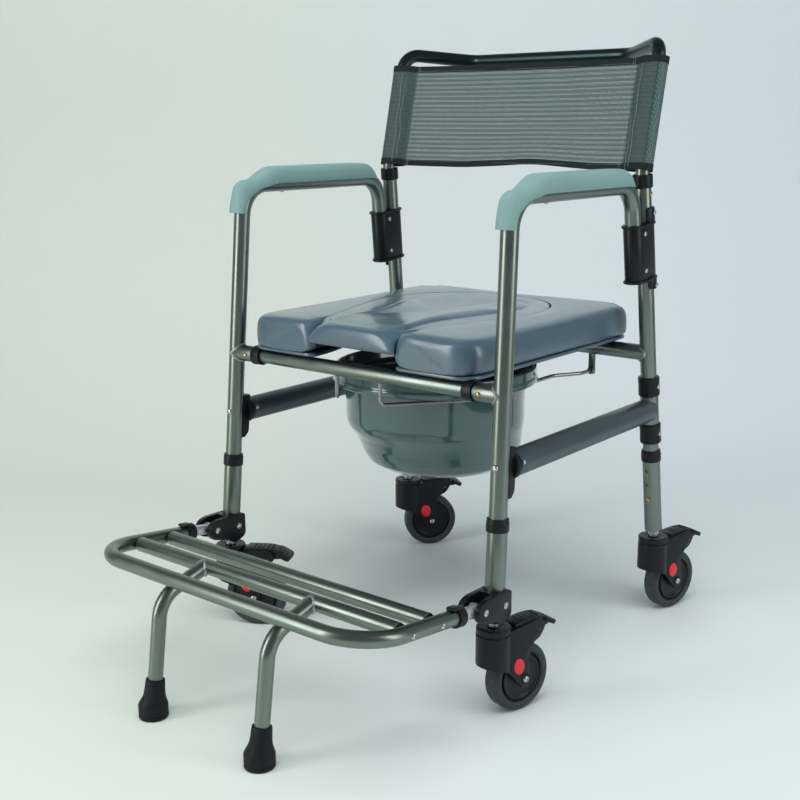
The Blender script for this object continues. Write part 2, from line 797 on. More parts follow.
class CHAIR_OT_side_tubes(bpy.types.Operator):
    """Arm and front leg, bent from one tube, with the crossbar's stub welded on"""

    bl_idname = "chair.side_tubes"
    bl_label = "Side Tubes"

    def execute(self, context):
        leg = front_leg(CROSSBAR_Z)
        foot = arm_line()[3]
        stub_end = Vector((0.214, CROSSBAR_Y, CROSSBAR_Z))
        parts = [
            (swept(arm_line(), TUBE, (ARM_BEND, 0.045)), "tube_paint"),
            (ring(stub_end, (leg.x, CROSSBAR_Y, CROSSBAR_Z), TUBE, 0.0005), "tube_paint"),
            (weld_bead(stub_end, leg, TUBE), "weld"),
            (ring(foot - UP * 0.001, foot + UP * 0.003, TUBE - 0.001), "black_plastic"),
        ]
        twins("side_tube_{}", parts, "tube_paint")
        return {"FINISHED"}


class CHAIR_OT_rear_frame(bpy.types.Operator):
    """Two uprights and the rear cross tube with the tabs that carry the pan rods"""

    bl_idname = "chair.rear_frame"
    bl_label = "Rear Frame"

    def execute(self, context):
        parts = []
        end = rear_leg(REAR_TUBE.z)
        tab = ((-0.0055, 0.4047), (0.0055, 0.4047), (0.0055, 0.448), (-0.0055, 0.448))
        for sign in (1, -1):
            flip = Matrix.Diagonal((sign, 1, 1, 1))
            upright = ring(rear_leg(INNER_TUBE_END), rear_leg(UPRIGHT_TOP), TUBE, 0.0006)
            parts.append((moved(upright, flip), "tube_paint"))
            plate = prism(tab, REAR_TUBE.y - 0.002, REAR_TUBE.y + 0.002, "Y", 0.0004, 0.003)
            parts.append((moved(plate, Matrix.Translation((sign * TAB_X, 0, 0))), "tube_paint"))
            parts.append((moved(weld_bead(REAR_TUBE, end, TUBE), flip), "weld"))
        cross = ring((-end.x, REAR_TUBE.y, REAR_TUBE.z), (end.x, REAR_TUBE.y, REAR_TUBE.z), TUBE)
        parts.append((cross, "tube_paint"))
        dress("rear_frame", parts, "tube_paint")
        return {"FINISHED"}


class CHAIR_OT_crossbar(bpy.types.Operator):
    """Front crossbar with a black collar at each stub"""

    bl_idname = "chair.crossbar"
    bl_label = "Front Crossbar"

    def execute(self, context):
        middle = Vector((0, CROSSBAR_Y, CROSSBAR_Z))
        parts = [(ring(middle - RIGHT * 0.238, middle + RIGHT * 0.238, CROSSBAR), "tube_paint")]
        for sign in (1, -1):
            inner = middle + RIGHT * sign * 0.197
            lip = middle + RIGHT * sign * 0.2105
            outer = middle + RIGHT * sign * 0.2137
            parts.append((ring(inner, outer, SLEEVE, 0.0012), "black_plastic"))
            parts.append((ring(lip, outer, 0.0152, 0.0007), "black_plastic"))
        dress("front_crossbar", parts, "tube_paint")
        return {"FINISHED"}


class CHAIR_OT_side_rails(bpy.types.Operator):
    """Thick side rails with their sleeves, saddles and hinge collars"""

    bl_idname = "chair.side_rails"
    bl_label = "Side Rails"

    def execute(self, context):
        rail = ring(in_side(-0.187, RAIL_Z), in_side(0.209, RAIL_Z), RAIL, 0.002)
        sleeve = ring(rear_leg(0.3343), rear_leg(0.3814), SLEEVE, 0.0006, ROUND_TUBE)
        seam = []
        for x, z in oval(28, RAIL * 0.76, RAIL):
            leg = rear_leg(RAIL_Z + z)
            reach = math.sqrt(max(SLEEVE**2 - x * x, 0.0))
            seam.append((leg.x + x, leg.y - reach, RAIL_Z + z))
        parts = [
            (rail, "rail_paint"),
            (sleeve, "tube_paint"),
            (swept(seam, 0.0017, material="weld", closed=True, sides=8), "weld"),
        ]
        twins("side_rail_{}", parts, "rail_paint")
        cup = (
            (0, -0.196), (0.0186, -0.196), (0.0205, -0.1938), (0.0205, -0.1873), (0.0199, -0.1865),
            (0.0199, -0.1845), (0, -0.1845),
        )
        cap = lathe(cup, 0.0009)
        place = Matrix.Translation((in_side(0, RAIL_Z).x, 0, RAIL_Z))
        cap.transform(place @ Matrix.Rotation(-math.pi / 2, 4, "X"))
        plan = (
            (-0.0118, 0.0), (-0.0112, 0.0095), (0.0112, 0.0095), (0.0118, 0.0), (0.0126, -0.0125),
            (-0.0126, -0.0125),
        )
        tail = prism(plan, 0, (front_leg(0.385) - front_leg(0.309)).length, "Z", 0.0015, 0.004)
        low = front_leg(0.309) + FRONT_BACK * (TUBE + 0.0015)
        axes = Matrix((RIGHT, FRONT_BACK, FRONT_AXIS)).transposed().to_4x4()
        saddle = moved(tail, Matrix.Translation(low) @ axes)
        hole = ring(front_leg(0.29), front_leg(0.4), ROUND_TUBE)
        heel = (
            (-0.186, 0.34), (-0.1905, 0.333), (-0.194, 0.322), (-0.202, 0.315), (-0.245, 0.314),
            (-0.245, 0.3), (-0.186, 0.3),
        )
        saddle = carved(saddle, prism(heel, 0.23, 0.29, "X"))
        parts = [(carved(saddle, hole), "black_plastic"), (carved(cap, hole), "black_plastic")]
        twins("rail_saddle_{}", parts, "black_plastic")
        for name, bottom, top in (("bottom", 0.3017, 0.334), ("top", 0.3817, 0.4122)):
            half = (top - bottom) / 2
            profile = (
                (ROUND_TUBE, 0), (0.0166, 0), (0.0172, 0.003), (0.0168, half * 1.2),
                (0.0172, 2 * half - 0.006), (0.0172, 2 * half), (ROUND_TUBE, 2 * half),
            )
            collar = lathe(profile, 0.0009)
            collar.transform(aligned(rear_leg(bottom), REAR_AXIS))
            twins(f"hinge_collar_{name}_{{}}", [(collar, "black_plastic")], "black_plastic")
        return {"FINISHED"}


BRACKET_SCREW_Y = -0.0268
# Distance between the bracket's two channels, square to the upright
CHANNEL_STEP = 0.0344


def tab_way(degrees):
    """The way from the upright's axis at an angle rearward of straight outward."""
    turn = math.radians(degrees)
    return (OUTWARD * math.cos(turn) - FORWARD * math.sin(turn)).normalized()


class CHAIR_OT_arm_brackets(bpy.types.Operator):
    """Black channels that hold the arm's rear leg to the upright"""

    bl_idname = "chair.arm_brackets"
    bl_label = "Arm Brackets"

    def execute(self, context):
        low, high = rear_leg(0.573), rear_leg(0.662)
        length = (high - low).length
        ahead = REAR * -ARM_LEG_AHEAD
        rim = REAR_AXIS * 0.004
        axes = Matrix((OUTWARD, REAR_AXIS.cross(OUTWARD), REAR_AXIS)).transposed().to_4x4()
        place = Matrix.Translation(low) @ axes
        legs = [ring(low + step - rim * 3, high + step + rim * 3, ROUND_TUBE) for step in (Vector(), ahead)]
        lobes = []
        bands = ((0.0156, 0.0, length), (0.0181, 0.0, 0.004), (0.0181, length - 0.004, length))
        for radius, start, end in bands:
            outline = []
            for n in range(26):
                lobe = n // 13
                turn = math.pi * (n % 13) / 12 + math.pi * lobe
                outline.append((radius * math.cos(turn), radius * math.sin(turn) - CHANNEL_STEP * lobe))
            channel = moved(prism(outline, start, end, "Z", 0.0009), place)
            lobes.append((carved(channel, *legs), "black_plastic"))
        arc = [tab_way(-45 + 105 * n / 12) for n in range(13)]
        outline = [way * ROUND_TUBE for way in arc] + [way * 0.0171 for way in reversed(arc)]
        middle = tab_way(5)
        squeezes = ((0.0, 0.6), (0.06, 0.85), (0.14, 1.0), (0.86, 1.0), (0.94, 0.85), (1.0, 0.6))
        for start, end in ((low - REAR_AXIS * 0.016, low + rim), (high - rim, high + REAR_AXIS * 0.0225)):
            rings = []
            for share, squeeze in squeezes:
                centre = start.lerp(end, share)
                line = []
                for point in outline:
                    outward = middle * point.dot(middle)
                    line.append(centre + outward + (point - outward) * squeeze)
                rings.append(line)
            lobes.append((loft(rings), "black_plastic"))
        twins("arm_bracket_{}", lobes, "black_plastic")
        return {"FINISHED"}


class CHAIR_OT_back_frame(bpy.types.Operator):
    """Posts and push bar, bent from one tube, with the bushes they enter"""

    bl_idname = "chair.back_frame"
    bl_label = "Back Frame"

    def execute(self, context):
        foot = rear_leg(0.668)
        posts = [foot, SLING_LOW, SLING_HIGH, Vector((0.158, 0.3, 0.918))]
        line = posts + [Vector((-p.x, p.y, p.z)) for p in reversed(posts)]
        bends = (0.04, 0.027, 0.045, 0.045, 0.027, 0.04)
        dress("back_frame", [(swept(line, CROSSBAR, bends), "tube_paint")], "tube_paint")
        profile = (
            (0.0112, 0.0097), (0.0112, 0.0203), (0.0148, 0.0203), (0.0156, 0.019), (0.0156, 0.003),
            (0.015, 0.0), (ROUND_TUBE, 0.0), (ROUND_TUBE, 0.0097),
        )
        bush = lathe(profile, 0.0008)
        bush.transform(aligned(rear_leg(0.7135), REAR_AXIS))
        twins("back_bush_{}", [(bush, "black_plastic")], "black_plastic")
        return {"FINISHED"}


# The sling of mesh, in its own leaning plane: a loop round each post, with the panel between them
SLING_LOW = Vector((0.2517, 0.1729, 0.7385))
SLING_HIGH = Vector((0.2497, 0.2178, 0.93))
SLING_BOTTOM = 0.7388
SLING_TOP = 0.908
STITCH_X = 0.215
LOOP_X = 0.2535
LOOP_HALF = 0.0129
SAG = 0.007
STITCH = 0.00115
STITCH_PITCH = 0.0034


def sling_home():
    lean = math.atan2(SLING_HIGH.y - SLING_LOW.y, SLING_HIGH.z - SLING_LOW.z)
    share = (SLING_BOTTOM - SLING_LOW.z) / (SLING_HIGH.z - SLING_LOW.z)
    y = SLING_LOW.y + share * (SLING_HIGH.y - SLING_LOW.y)
    home = Matrix.Translation((0, y, SLING_BOTTOM)) @ Matrix.Rotation(-lean, 4, "X")
    return home, (SLING_TOP - SLING_BOTTOM) / math.cos(lean)


def sling_path():
    """Evenly spaced points of the cloth's middle, from its stitched left edge round both posts."""
    loop = [(STITCH_X + 0.0006, 0.0011), (STITCH_X + 0.016, LOOP_HALF * 0.74)]
    for n in range(9):
        turn = math.pi / 2 - math.pi * n / 8
        loop.append((LOOP_X + LOOP_HALF * math.cos(turn), LOOP_HALF * math.sin(turn)))
    loop += [(STITCH_X + 0.016, -LOOP_HALF * 0.74), (STITCH_X + 0.0006, -0.0006)]
    panel = []
    for n in range(1, 24):
        x = STITCH_X * (1 - n / 12)
        panel.append((x, SAG * (1 - (x / STITCH_X) ** 2) - 0.0003))
    other = [(-x, y) for x, y in reversed(loop)]
    return evenly(spline([(x, y, 0) for x, y in loop + panel + other], 8), 300)


def sling_strip(low, high, rows, thickness, length):
    """A band of the sling from low to high up its plane, of that thickness, with its UVs in metres."""
    path, total = sling_path()
    bm = bmesh.new()
    layer = bm.loops.layers.uv.new("UVMap")
    grid = []
    for row in range(rows + 1):
        z = low + (high - low) * row / rows
        line = []
        for n, point in enumerate(path):
            flat = 1 - min(1.0, abs(point.x) / STITCH_X) ** 4
            edge = 1 - abs(2 * z / length - 1)
            ripple = 0.0008 * math.sin(point.x * 70 + 2.0) * (1 - edge)
            ripple += 0.0004 * math.sin(point.x * 31 + z * 40)
            low_edge = max(0.0, 1 - 2.2 * z / length)
            droop = 0.0075 * math.exp(-(((point.x - 0.045) / 0.085) ** 2)) * low_edge**1.5 * flat
            line.append(bm.verts.new((point.x, point.y + ripple * flat, z + droop)))
        grid.append(line)
    for row in range(rows):
        for n in range(len(path) - 1):
            corners = ((n, row), (n + 1, row), (n + 1, row + 1), (n, row + 1))
            face = bm.faces.new([grid[up][across] for across, up in corners])
            for loop, (across, up) in zip(face.loops, corners):
                loop[layer].uv = (total * across / (len(path) - 1), low + (high - low) * up / rows)
    mesh = bpy.data.meshes.new("strip")
    bm.to_mesh(mesh)
    bm.free()
    carrier = carrier_of(mesh)
    solid = carrier.modifiers.new("solid", "SOLIDIFY")
    solid.thickness = thickness
    solid.offset = 0
    return evaluated(carrier), total


def stitch_shape():
    name = "stitch_shape"
    if name in bpy.data.objects:
        return bpy.data.objects[name]
    made = carrier_of(lathe(((0, -1.1), (0.22, -0.95), (0.3, 0), (0.22, 0.95), (0, 1.1)), 0, 6), name)
    made.hide_render = True
    return made


class CHAIR_OT_back_mesh(bpy.types.Operator):
    """Sling of woven mesh, sewn round both posts, with its folded hems"""

    bl_idname = "chair.back_mesh"
    bl_label = "Back Mesh"

    def execute(self, context):
        home, length = sling_home()
        cloth, total = sling_strip(0.0008, length - 0.0008, 22, 0.0009, length)
        sling = dress("back_mesh", [(moved(cloth, home), "mesh_cloth")], "mesh_cloth", angle=60)
        hems = []
        for low, high in ((0.0, 0.0105), (length - 0.0105, length)):
            hems.append((moved(sling_strip(low, high, 3, 0.0021, length)[0], home), "hem_cloth"))
        hem = piece("back_mesh_hems", hems, "frame", slot="mesh_cloth", angle=60)
        spots = []
        path, _ = sling_path()
        for point, ahead in zip(path[::2], path[2::2]):
            if abs(point.x) > STITCH_X:
                continue
            for level in (0.0088, length - 0.0088):
                spots.append((point + Vector((0, -0.0012, level)), ahead - point, STITCH))
        columns = ((0.0025, -0.0012, 0.0), (0.006, -0.0011, -0.00085), (0.0025, 0.0018, 0.0))
        for sign in (1, -1):
            for column, depth, tilt in columns:
                for n in range(int(length / STITCH_PITCH)):
                    place = Vector((sign * (STITCH_X - column), depth, 0.002 + n * STITCH_PITCH))
                    spots.append((place, (tilt, 0, 1), STITCH))
        thread = moved(scattered(spots, stitch_shape(), "sewing_thread"), home)
        parts = [(thread, "sewing_thread")]
        creases = (
            (1, 0.02, 0.93, 0.0185, 0.016), (1, 0.0, 0.45, 0.0105, 0.0085),
            (-1, 0.03, 0.92, 0.02, 0.023), (-1, 0.1, 0.7, 0.012, 0.019),
        )
        for sign, bottom, top, start, end in creases:
            line = []
            for n in range(31):
                share = bottom + (top - bottom) * n / 30
                step = start + (end - start) * share + 0.0011 * math.sin(share * 19 + start * 900)
                depth = min(LOOP_HALF, 0.0006 + step * 0.66) + 0.0012
                line.append((sign * (STITCH_X + step), -depth, share * length))
            crease = swept(line, 0.0003, material="sewing_thread", sides=5)
            parts.append((moved(crease, home), "sewing_thread"))
        stitches = piece("back_mesh_stitches", parts, "frame", slot="mesh_cloth")
        return {"FINISHED"}


# Legs, casters and clevises
class CHAIR_OT_lower_legs(bpy.types.Operator):
    """Lower legs with their rows of holes and black bushes"""

    bl_idname = "chair.lower_legs"
    bl_label = "Lower Legs"

    def execute(self, context):
        for end, point, axis, way in (
            ("front", front_leg, FRONT_AXIS, FRONT_BACK),
            ("rear", rear_leg, REAR_AXIS, FORWARD),
        ):
            low, high = point(0.147), point(0.288)
            length = (high - low).length
            profile = (
                (0, 0.026), (0.01295, 0.026), (0.01295, length - 0.002), (LOWER_LEG, length - 0.002),
                (LOWER_LEG, 0), (0, 0),
            )
            tube = moved(lathe(profile, 0.0006), aligned(low, axis))
            drills = []
            for n in range(3):
                centre = point(0.2052 + n * HOLE_PITCH * axis.z)
                drills.append(ring(centre, centre + way * 0.03, 0.0037, 0))
            top = length - 0.0185
            bush = (
                (LOWER_LEG, top), (0.0158, top), (0.0161, top + 0.003), (0.0161, length - 0.0042),
                (0.0154, length - 0.0034), (0.0154, length), (0.01295, length),
                (0.01295, length - 0.004), (LOWER_LEG, length - 0.004),
            )
            collar = moved(lathe(bush, 0.0007), aligned(low, axis))
            parts = [(carved(tube, *drills), "tube_paint"), (collar, "black_plastic")]
            twins(f"lower_leg_{end}_{{}}", parts, "tube_paint")
        return {"FINISHED"}


CASTERS = (("front_left", 76.0), ("front_right", 27.0), ("rear_left", 76.0), ("rear_right", 52.0))
AXLE = Vector((0.044, 0, 0.05))
CHEEK = (
    (0.0, 0.1232), (0.0156, 0.1276), (0.0434, 0.1312), (0.0691, 0.1328), (0.0775, 0.13),
    (0.0816, 0.124), (0.08, 0.119), (0.0717, 0.1064), (0.0596, 0.1017), (0.053, 0.0915),
    (0.0499, 0.0802), (0.0538, 0.0613), (0.0555, 0.047), (0.05, 0.0365), (0.04, 0.036),
    (0.0284, 0.0487), (0.0162, 0.0639), (0.0, 0.078),
)
PEDAL_SLOT = (
    (0.027, 0.14), (0.0275, 0.1225), (0.05, 0.1165), (0.062, 0.109), (0.09, 0.101), (0.09, 0.14),
)
PEDAL_BODY = (
    (0.0272, 0.13), (0.0285, 0.1338), (0.046, 0.1348), (0.066, 0.1354), (0.079, 0.1342), (0.09, 0.129),
    (0.093, 0.119), (0.078, 0.118), (0.072, 0.113), (0.066, 0.1135), (0.06, 0.123), (0.04, 0.127),
)
# Part of the housing's foot that is cut away, on a slant towards the wheel
HOUSING_CUT = (
    (-0.03, 0.0812), (-0.0247, 0.0803), (0.0, 0.0745), (0.0247, 0.063), (0.03, 0.0605), (0.03, 0.05),
    (-0.03, 0.05),
)


def caster_home(name, yaw):
    leg = front_leg if name.startswith("front") else rear_leg
    place = leg(STEM_Z)
    place.x *= -1 if name.endswith("right") else 1
    place.z = 0
    return HOME @ Matrix.Translation(place) @ Matrix.Rotation(math.radians(yaw), 4, "Z")


def across(start, end, radius, easing=0.0004):
    """A round part along Y through start, from y = start.y to end."""
    return ring(start, (start[0], end, start[2]), radius, easing)


def fork_parts():
    housing = (
        (0, 0.06), (0.0236, 0.06), (0.0247, 0.061), (0.0247, 0.124), (0.024, 0.1249), (0.023, 0.1249),
        (0.023, 0.1273), (0.0238, 0.1273), (0.0245, 0.1283), (0.0245, 0.134), (0.0232, 0.1355),
        (0.013, 0.1355), (0.012, 0.1345), (0, 0.1345),
    )
    washer = ((0, 0.1345), (0.008, 0.1345), (0.0088, 0.136), (0.0088, 0.1378), (0, 0.1378))
    slot = across((AXLE.x, -0.0149, AXLE.z), 0.0149, 0.0535, 0)
    gap = prism(PEDAL_SLOT, -0.0149, 0.0149, "Y")
    skirt = prism(HOUSING_CUT, -0.03, 0.03, "Y")
    cheek = prism(CHEEK, -0.0195, 0.0195, "Y", 0.0013, 0.006)
    parts = [
        (carved(cheek, slot, gap), "black_plastic"),
        (carved(lathe(housing, 0.0008), slot, gap, skirt), "black_plastic"),
        (lathe(washer, 0.0004), "zinc"),
        (disc_stack(0.009, 0.1376, 0.141, 0.0007), "zinc"),
        (disc_stack(0.0052, 0.1345, 0.164, 0.0004), "zinc"),
        (across((AXLE.x, -0.0195, AXLE.z), 0.0195, 0.004), "zinc"),
        (across((0.0696, -0.0195, 0.1185), 0.0195, 0.002), "zinc"),
    ]
    mark = []
    for along, wide in oval(36, 0.012, 0.0093):
        mark.append((0.0316 + wide * 0.985 - along * 0.17, 0.0722 + along * 0.985 + wide * 0.17))
    for sign in (1, -1):
        disc = prism(mark, *sorted((sign * 0.019, sign * 0.0202)), "Y", 0.0004)
        parts.append((disc, "brake_mark"))
        parts.append((across((AXLE.x, sign * 0.019, AXLE.z), sign * 0.0204, 0.0078), "black_plastic"))
    heads = screws([(AXLE + Vector((0, sign * 0.0203, 0)), (0, sign, 0), 0.0049) for sign in (1, -1)])
    return parts + [(heads, "zinc")]


def pedal_parts():
    body = prism(PEDAL_BODY, -0.0141, 0.0141, "Y", 0.0011, 0.004)
    slope = Matrix.Translation((0.0815, 0, 0.1338)) @ Matrix.Rotation(math.radians(27), 4, "Y")
    tongue = ((0.0, -0.0185), (0.0285, -0.0188), (0.0285, 0.0188), (0.0, 0.0185))
    tip = moved(prism(tongue, -0.0068, 0.0, "Z", 0.0012, 0.01), slope)
    parts = [(body, "black_plastic"), (tip, "black_plastic")]
    section = ((-0.0014, -0.002), (0.0014, -0.002), (0.0008, 0.0007), (-0.0008, 0.0007))
    rib = prism(section, -0.0098, 0.0098, "Y", 0.0004)
    for n in range(5):
        u = 0.044 + n * 0.0076
        parts.append((moved(rib, Matrix.Translation((u, 0, 0.1346 + (u - 0.046) * 0.02))), "rubber"))
    for n in range(3):
        parts.append((moved(rib, slope @ Matrix.Translation((0.006 + n * 0.0062, 0, -0.0002))), "rubber"))
    return parts


def wheel_parts():
    tyre = (
        (0.0372, -0.0104), (0.0385, -0.0124), (0.041, -0.0134), (0.045, -0.0132), (0.0484, -0.0116),
        (0.0496, -0.0096), (0.05, -0.008), (0.05, 0.008), (0.0496, 0.0096), (0.0484, 0.0116),
        (0.045, 0.0132), (0.041, 0.0134), (0.0385, 0.0124), (0.0372, 0.0104),
    )
    half = (
        (0.0045, 0.0134), (0.01, 0.0134), (0.0112, 0.0108), (0.0285, 0.0104), (0.03, 0.012),
        (0.0332, 0.012), (0.034, 0.0108), (0.0342, 0.0078), (0.038, 0.0078),
    )
    hub = [(radius, -z) for radius, z in half] + [(radius, z) for radius, z in reversed(half)]
    lay = Matrix.Translation(AXLE) @ Matrix.Rotation(-math.pi / 2, 4, "X")
    return [
        (moved(lathe(tyre, 0.0012, 72), lay), "tread"),
        (moved(lathe(hub, 0.0009, 72), lay), "hub_plastic"),
    ]


class CHAIR_OT_casters(bpy.types.Operator):
    """Four casters: fork with stem, braked wheel and pedal"""

    bl_idname = "chair.casters"
    bl_label = "Casters"

    def execute(self, context):
        for kind, made, slot in (
            ("fork", fork_parts, "black_plastic"),
            ("wheel", wheel_parts, "tyre"),
            ("pedal", pedal_parts, "black_plastic"),
        ):
            parts = made()
            for name, yaw in CASTERS:
                dress(f"caster_{kind}_{name}", parts, slot, matrix=caster_home(name, yaw), angle=30)
        return {"FINISHED"}


CLEVIS = (
    (-0.2112, 0.1535), (-0.2112, 0.1855), (-0.215, 0.1885), (-0.246, 0.1895), (-0.27, 0.1898),
    (-0.282, 0.1865), (-0.2885, 0.179), (-0.2885, 0.1685), (-0.282, 0.16), (-0.27, 0.156),
    (-0.246, 0.1505), (-0.24, 0.1445), (-0.233, 0.143), (-0.216, 0.148),
)
CLEVIS_X = 0.264
PIVOT = Vector((0, -0.2724, 0.1733))


class CHAIR_OT_clevises(bpy.types.Operator):
    """Black clevises that clamp the front lower legs and carry the footrest's pins"""

    bl_idname = "chair.clevises"
    bl_label = "Clevises"

    def execute(self, context):
        body = prism(CLEVIS, CLEVIS_X - 0.0185, CLEVIS_X + 0.0185, "X", 0.0012, 0.004)
        leg = ring(front_leg(0.13), front_leg(0.2), LOWER_LEG + FIT, 0)
        gap = prism(((-0.3, 0.13), (-0.247, 0.13), (-0.247, 0.2), (-0.3, 0.2)), 0.2542, 0.2738, "X")
        spots = []
        for sign in (1, -1):
            for place in (PIVOT, Vector((0, -0.226, 0.1687))):
                spots.append((place + RIGHT * (CLEVIS_X + sign * 0.0186), RIGHT * sign, 0.0042))
        pin = ring(PIVOT + RIGHT * (CLEVIS_X - 0.0184), PIVOT + RIGHT * (CLEVIS_X + 0.0184), 0.003)
        washers = []
        for place, way, _ in spots:
            washers.append((ring(place - way * 0.0006, place + way * 0.0006, 0.005, 0.0003), "zinc"))
        parts = [(carved(body, leg, gap), "black_plastic"), (pin, "zinc"), (screws(spots), "zinc"), *washers]
        twins("clevis_{}", parts, "black_plastic")
        return {"FINISHED"}


# Footrest, in a frame at its pivot that slopes with the hoop
REST = Matrix.Translation(PIVOT) @ Matrix.Rotation(-math.radians(7.05), 4, "X")
ARM_X = 0.2659
HOOP_END = 0.2296
BARS = (0.0885, 0.1492)
REST_LEG_X = 0.1065
REST_LEG_CORNER = Vector((REST_LEG_X, -0.5055, 0.17))
REST_LEG_END = Vector((REST_LEG_X, -0.5287, 0.009))
COLLAR_LUG = (
    (-0.043, 0.0), (-0.043, 0.014), (-0.0445, 0.0152), (-0.059, 0.0152), (-0.061, 0.014),
    (-0.061, 0.0112), (-0.05, 0.0112), (-0.05, 0.0),
)


def cross_bar(reach):
    place = Vector((0, -reach, 0))
    parts = [(ring(place - RIGHT * 0.2524, place + RIGHT * 0.2524, HOOP, 0.0008), "tube_paint")]
    for sign in (1, -1):
        start = place + RIGHT * sign * 0.25
        parts.append((ring(start, place + RIGHT * sign * 0.2549, 0.0103, 0.0008), "black_plastic"))
    return [(moved(mesh, REST), look) for mesh, look in parts]


def rest_tip():
    """A rubber foot: an upright base with a grip line, which runs up into a sleeve along the leg."""
    axis = (REST_LEG_CORNER - REST_LEG_END).normalized()
    ground = REST_LEG_END - axis * (REST_LEG_END.z / axis.z)
    base = ground + axis * 0.0105
    base.z = 0
    upright = (
        (0.0175, 0.0), (0.0202, 0.0006), (0.021, 0.0022), (0.0209, 0.0052), (0.0202, 0.0058),
        (0.0202, 0.0066), (0.0209, 0.0072), (0.021, 0.019), (0.02, 0.0215),
    )
    sleeve = (
        (0.0174, 0.027), (0.0158, 0.031), (0.0149, 0.0365), (0.0145, 0.04), (0.0138, 0.052),
        (0.0133, 0.055), (0.011, 0.055), (0.0107, 0.054), (0.0107, 0.012),
    )
    rings = []
    for foot, way, profile in ((base, UP, upright), (ground, axis, sleeve)):
        deep = way.cross(RIGHT)
        for radius, height in profile:
            centre = foot + way * height
            rings.append([centre + (RIGHT * x + deep * y) * radius for x, y in oval(sizes().sides, 1)])
    return loft(rings)


class CHAIR_OT_footrest(bpy.types.Operator):
    """Hinged footrest: hoop, stubs, two bars, bent legs and rubber tips"""

    bl_idname = "chair.footrest"
    bl_label = "Footrest"

    def execute(self, context):
        line = [(ARM_X, -0.04, 0), (ARM_X, -HOOP_END, 0), (-ARM_X, -HOOP_END, 0), (-ARM_X, -0.04, 0)]
        parts = [(moved(swept(line, HOOP, (0.0705, 0.0705)), REST), "tube_paint")]
        spots = []
        for sign in (1, -1):
            arm = RIGHT * sign * ARM_X
            collar = ring(arm - REAR * 0.0375, arm - REAR * 0.052, 0.0145, 0.0014, 0.0097)
            tab = prism(COLLAR_LUG, sign * ARM_X - 0.0068, sign * ARM_X + 0.0068, "X", 0.0008, 0.0015)
            tab = carved(tab, ring(arm - REAR * 0.03, arm - REAR * 0.07, HOOP, 0))
            parts += [(moved(collar, REST), "black_plastic"), (moved(tab, REST), "black_plastic")]
            for reach in BARS:
                spots.append((REST @ (arm + Vector((sign * 0.011, -reach, 0))), RIGHT * sign, 0.0042))
        parts.append((screws(spots), "zinc"))
        dress("footrest_hoop", parts, "tube_paint")

        arm = RIGHT * ARM_X
        inner = Vector((0.2651, 0, 0))
        eye = ring(inner - RIGHT * 0.0083, inner + RIGHT * 0.0083, 0.009, 0.001, 0.0032)
        body = ring(inner - REAR * 0.005, inner - REAR * 0.0376, 0.0084, 0.0006)
        spigot = ring(arm - REAR * 0.03, arm - REAR * 0.072, 0.0095, 0.0008)
        stub = [(moved(mesh, REST), "aluminium") for mesh in (eye, body, spigot)]
        twins("footrest_stub_{}", stub, "silver")

        dress("footrest_rear_bar", cross_bar(BARS[0]), "tube_paint")

        leg_line = [REST @ Vector((REST_LEG_X, -BARS[1], 0)), REST_LEG_CORNER, REST_LEG_END]
        leg = swept(leg_line, REST_LEG, (0.042,))
        mid = cross_bar(BARS[1])
        bar_centre = REST @ Vector((0, -BARS[1], 0))
        slope = (leg_line[1] - leg_line[0]).normalized()
        seam = []
        for x, z in oval(28, REST_LEG):
            reach = math.sqrt(max(HOOP**2 - z * z, 0.0))
            near = leg_line[0] + slope * ((bar_centre.y - reach - leg_line[0].y) / slope.y)
            seam.append((REST_LEG_X + x, near.y, near.z + z))
        bead = swept(seam, 0.0027, material="weld", closed=True, sides=8)
        for flip in (Matrix(), Matrix.Scale(-1, 4, RIGHT)):
            mid += [(moved(leg, flip), "tube_paint"), (moved(bead, flip), "weld")]
        dress("footrest_mid_bar", mid, "tube_paint")

        twins("footrest_tip_{}", [(rest_tip(), "rubber")], "rubber")
        return {"FINISHED"}


# Pan
PAN_RINGS = (
    (0.102, 0.2785, 0.017), (0.1238, 0.2965, 0.017), (0.1318, 0.328, 0.0095), (0.14, 0.356, 0.0),
    (0.1408, 0.417, 0.0), (0.153, 0.42, 0.0), (0.1545, 0.4385, 0.0), (0.156, 0.4405, 0.0),
    (0.16, 0.4402, 0.0), (0.1615, 0.4385, 0.0), (0.1615, 0.4262, 0.0), (0.1632, 0.4237, 0.0),
    (0.1632, 0.4161, 0.0), (0.16, 0.4142, 0.0), (0.144, 0.4147, 0.0), (0.143, 0.356, 0.0),
    (0.1415, 0.345, 0.0015), (0.1348, 0.328, 0.0095), (0.131, 0.312, 0.015), (0.1275, 0.298, 0.017),
    (0.12, 0.285, 0.017), (0.104, 0.2755, 0.017),
)
PAN_Y = -0.018
ROD_LEVEL = 0.4109


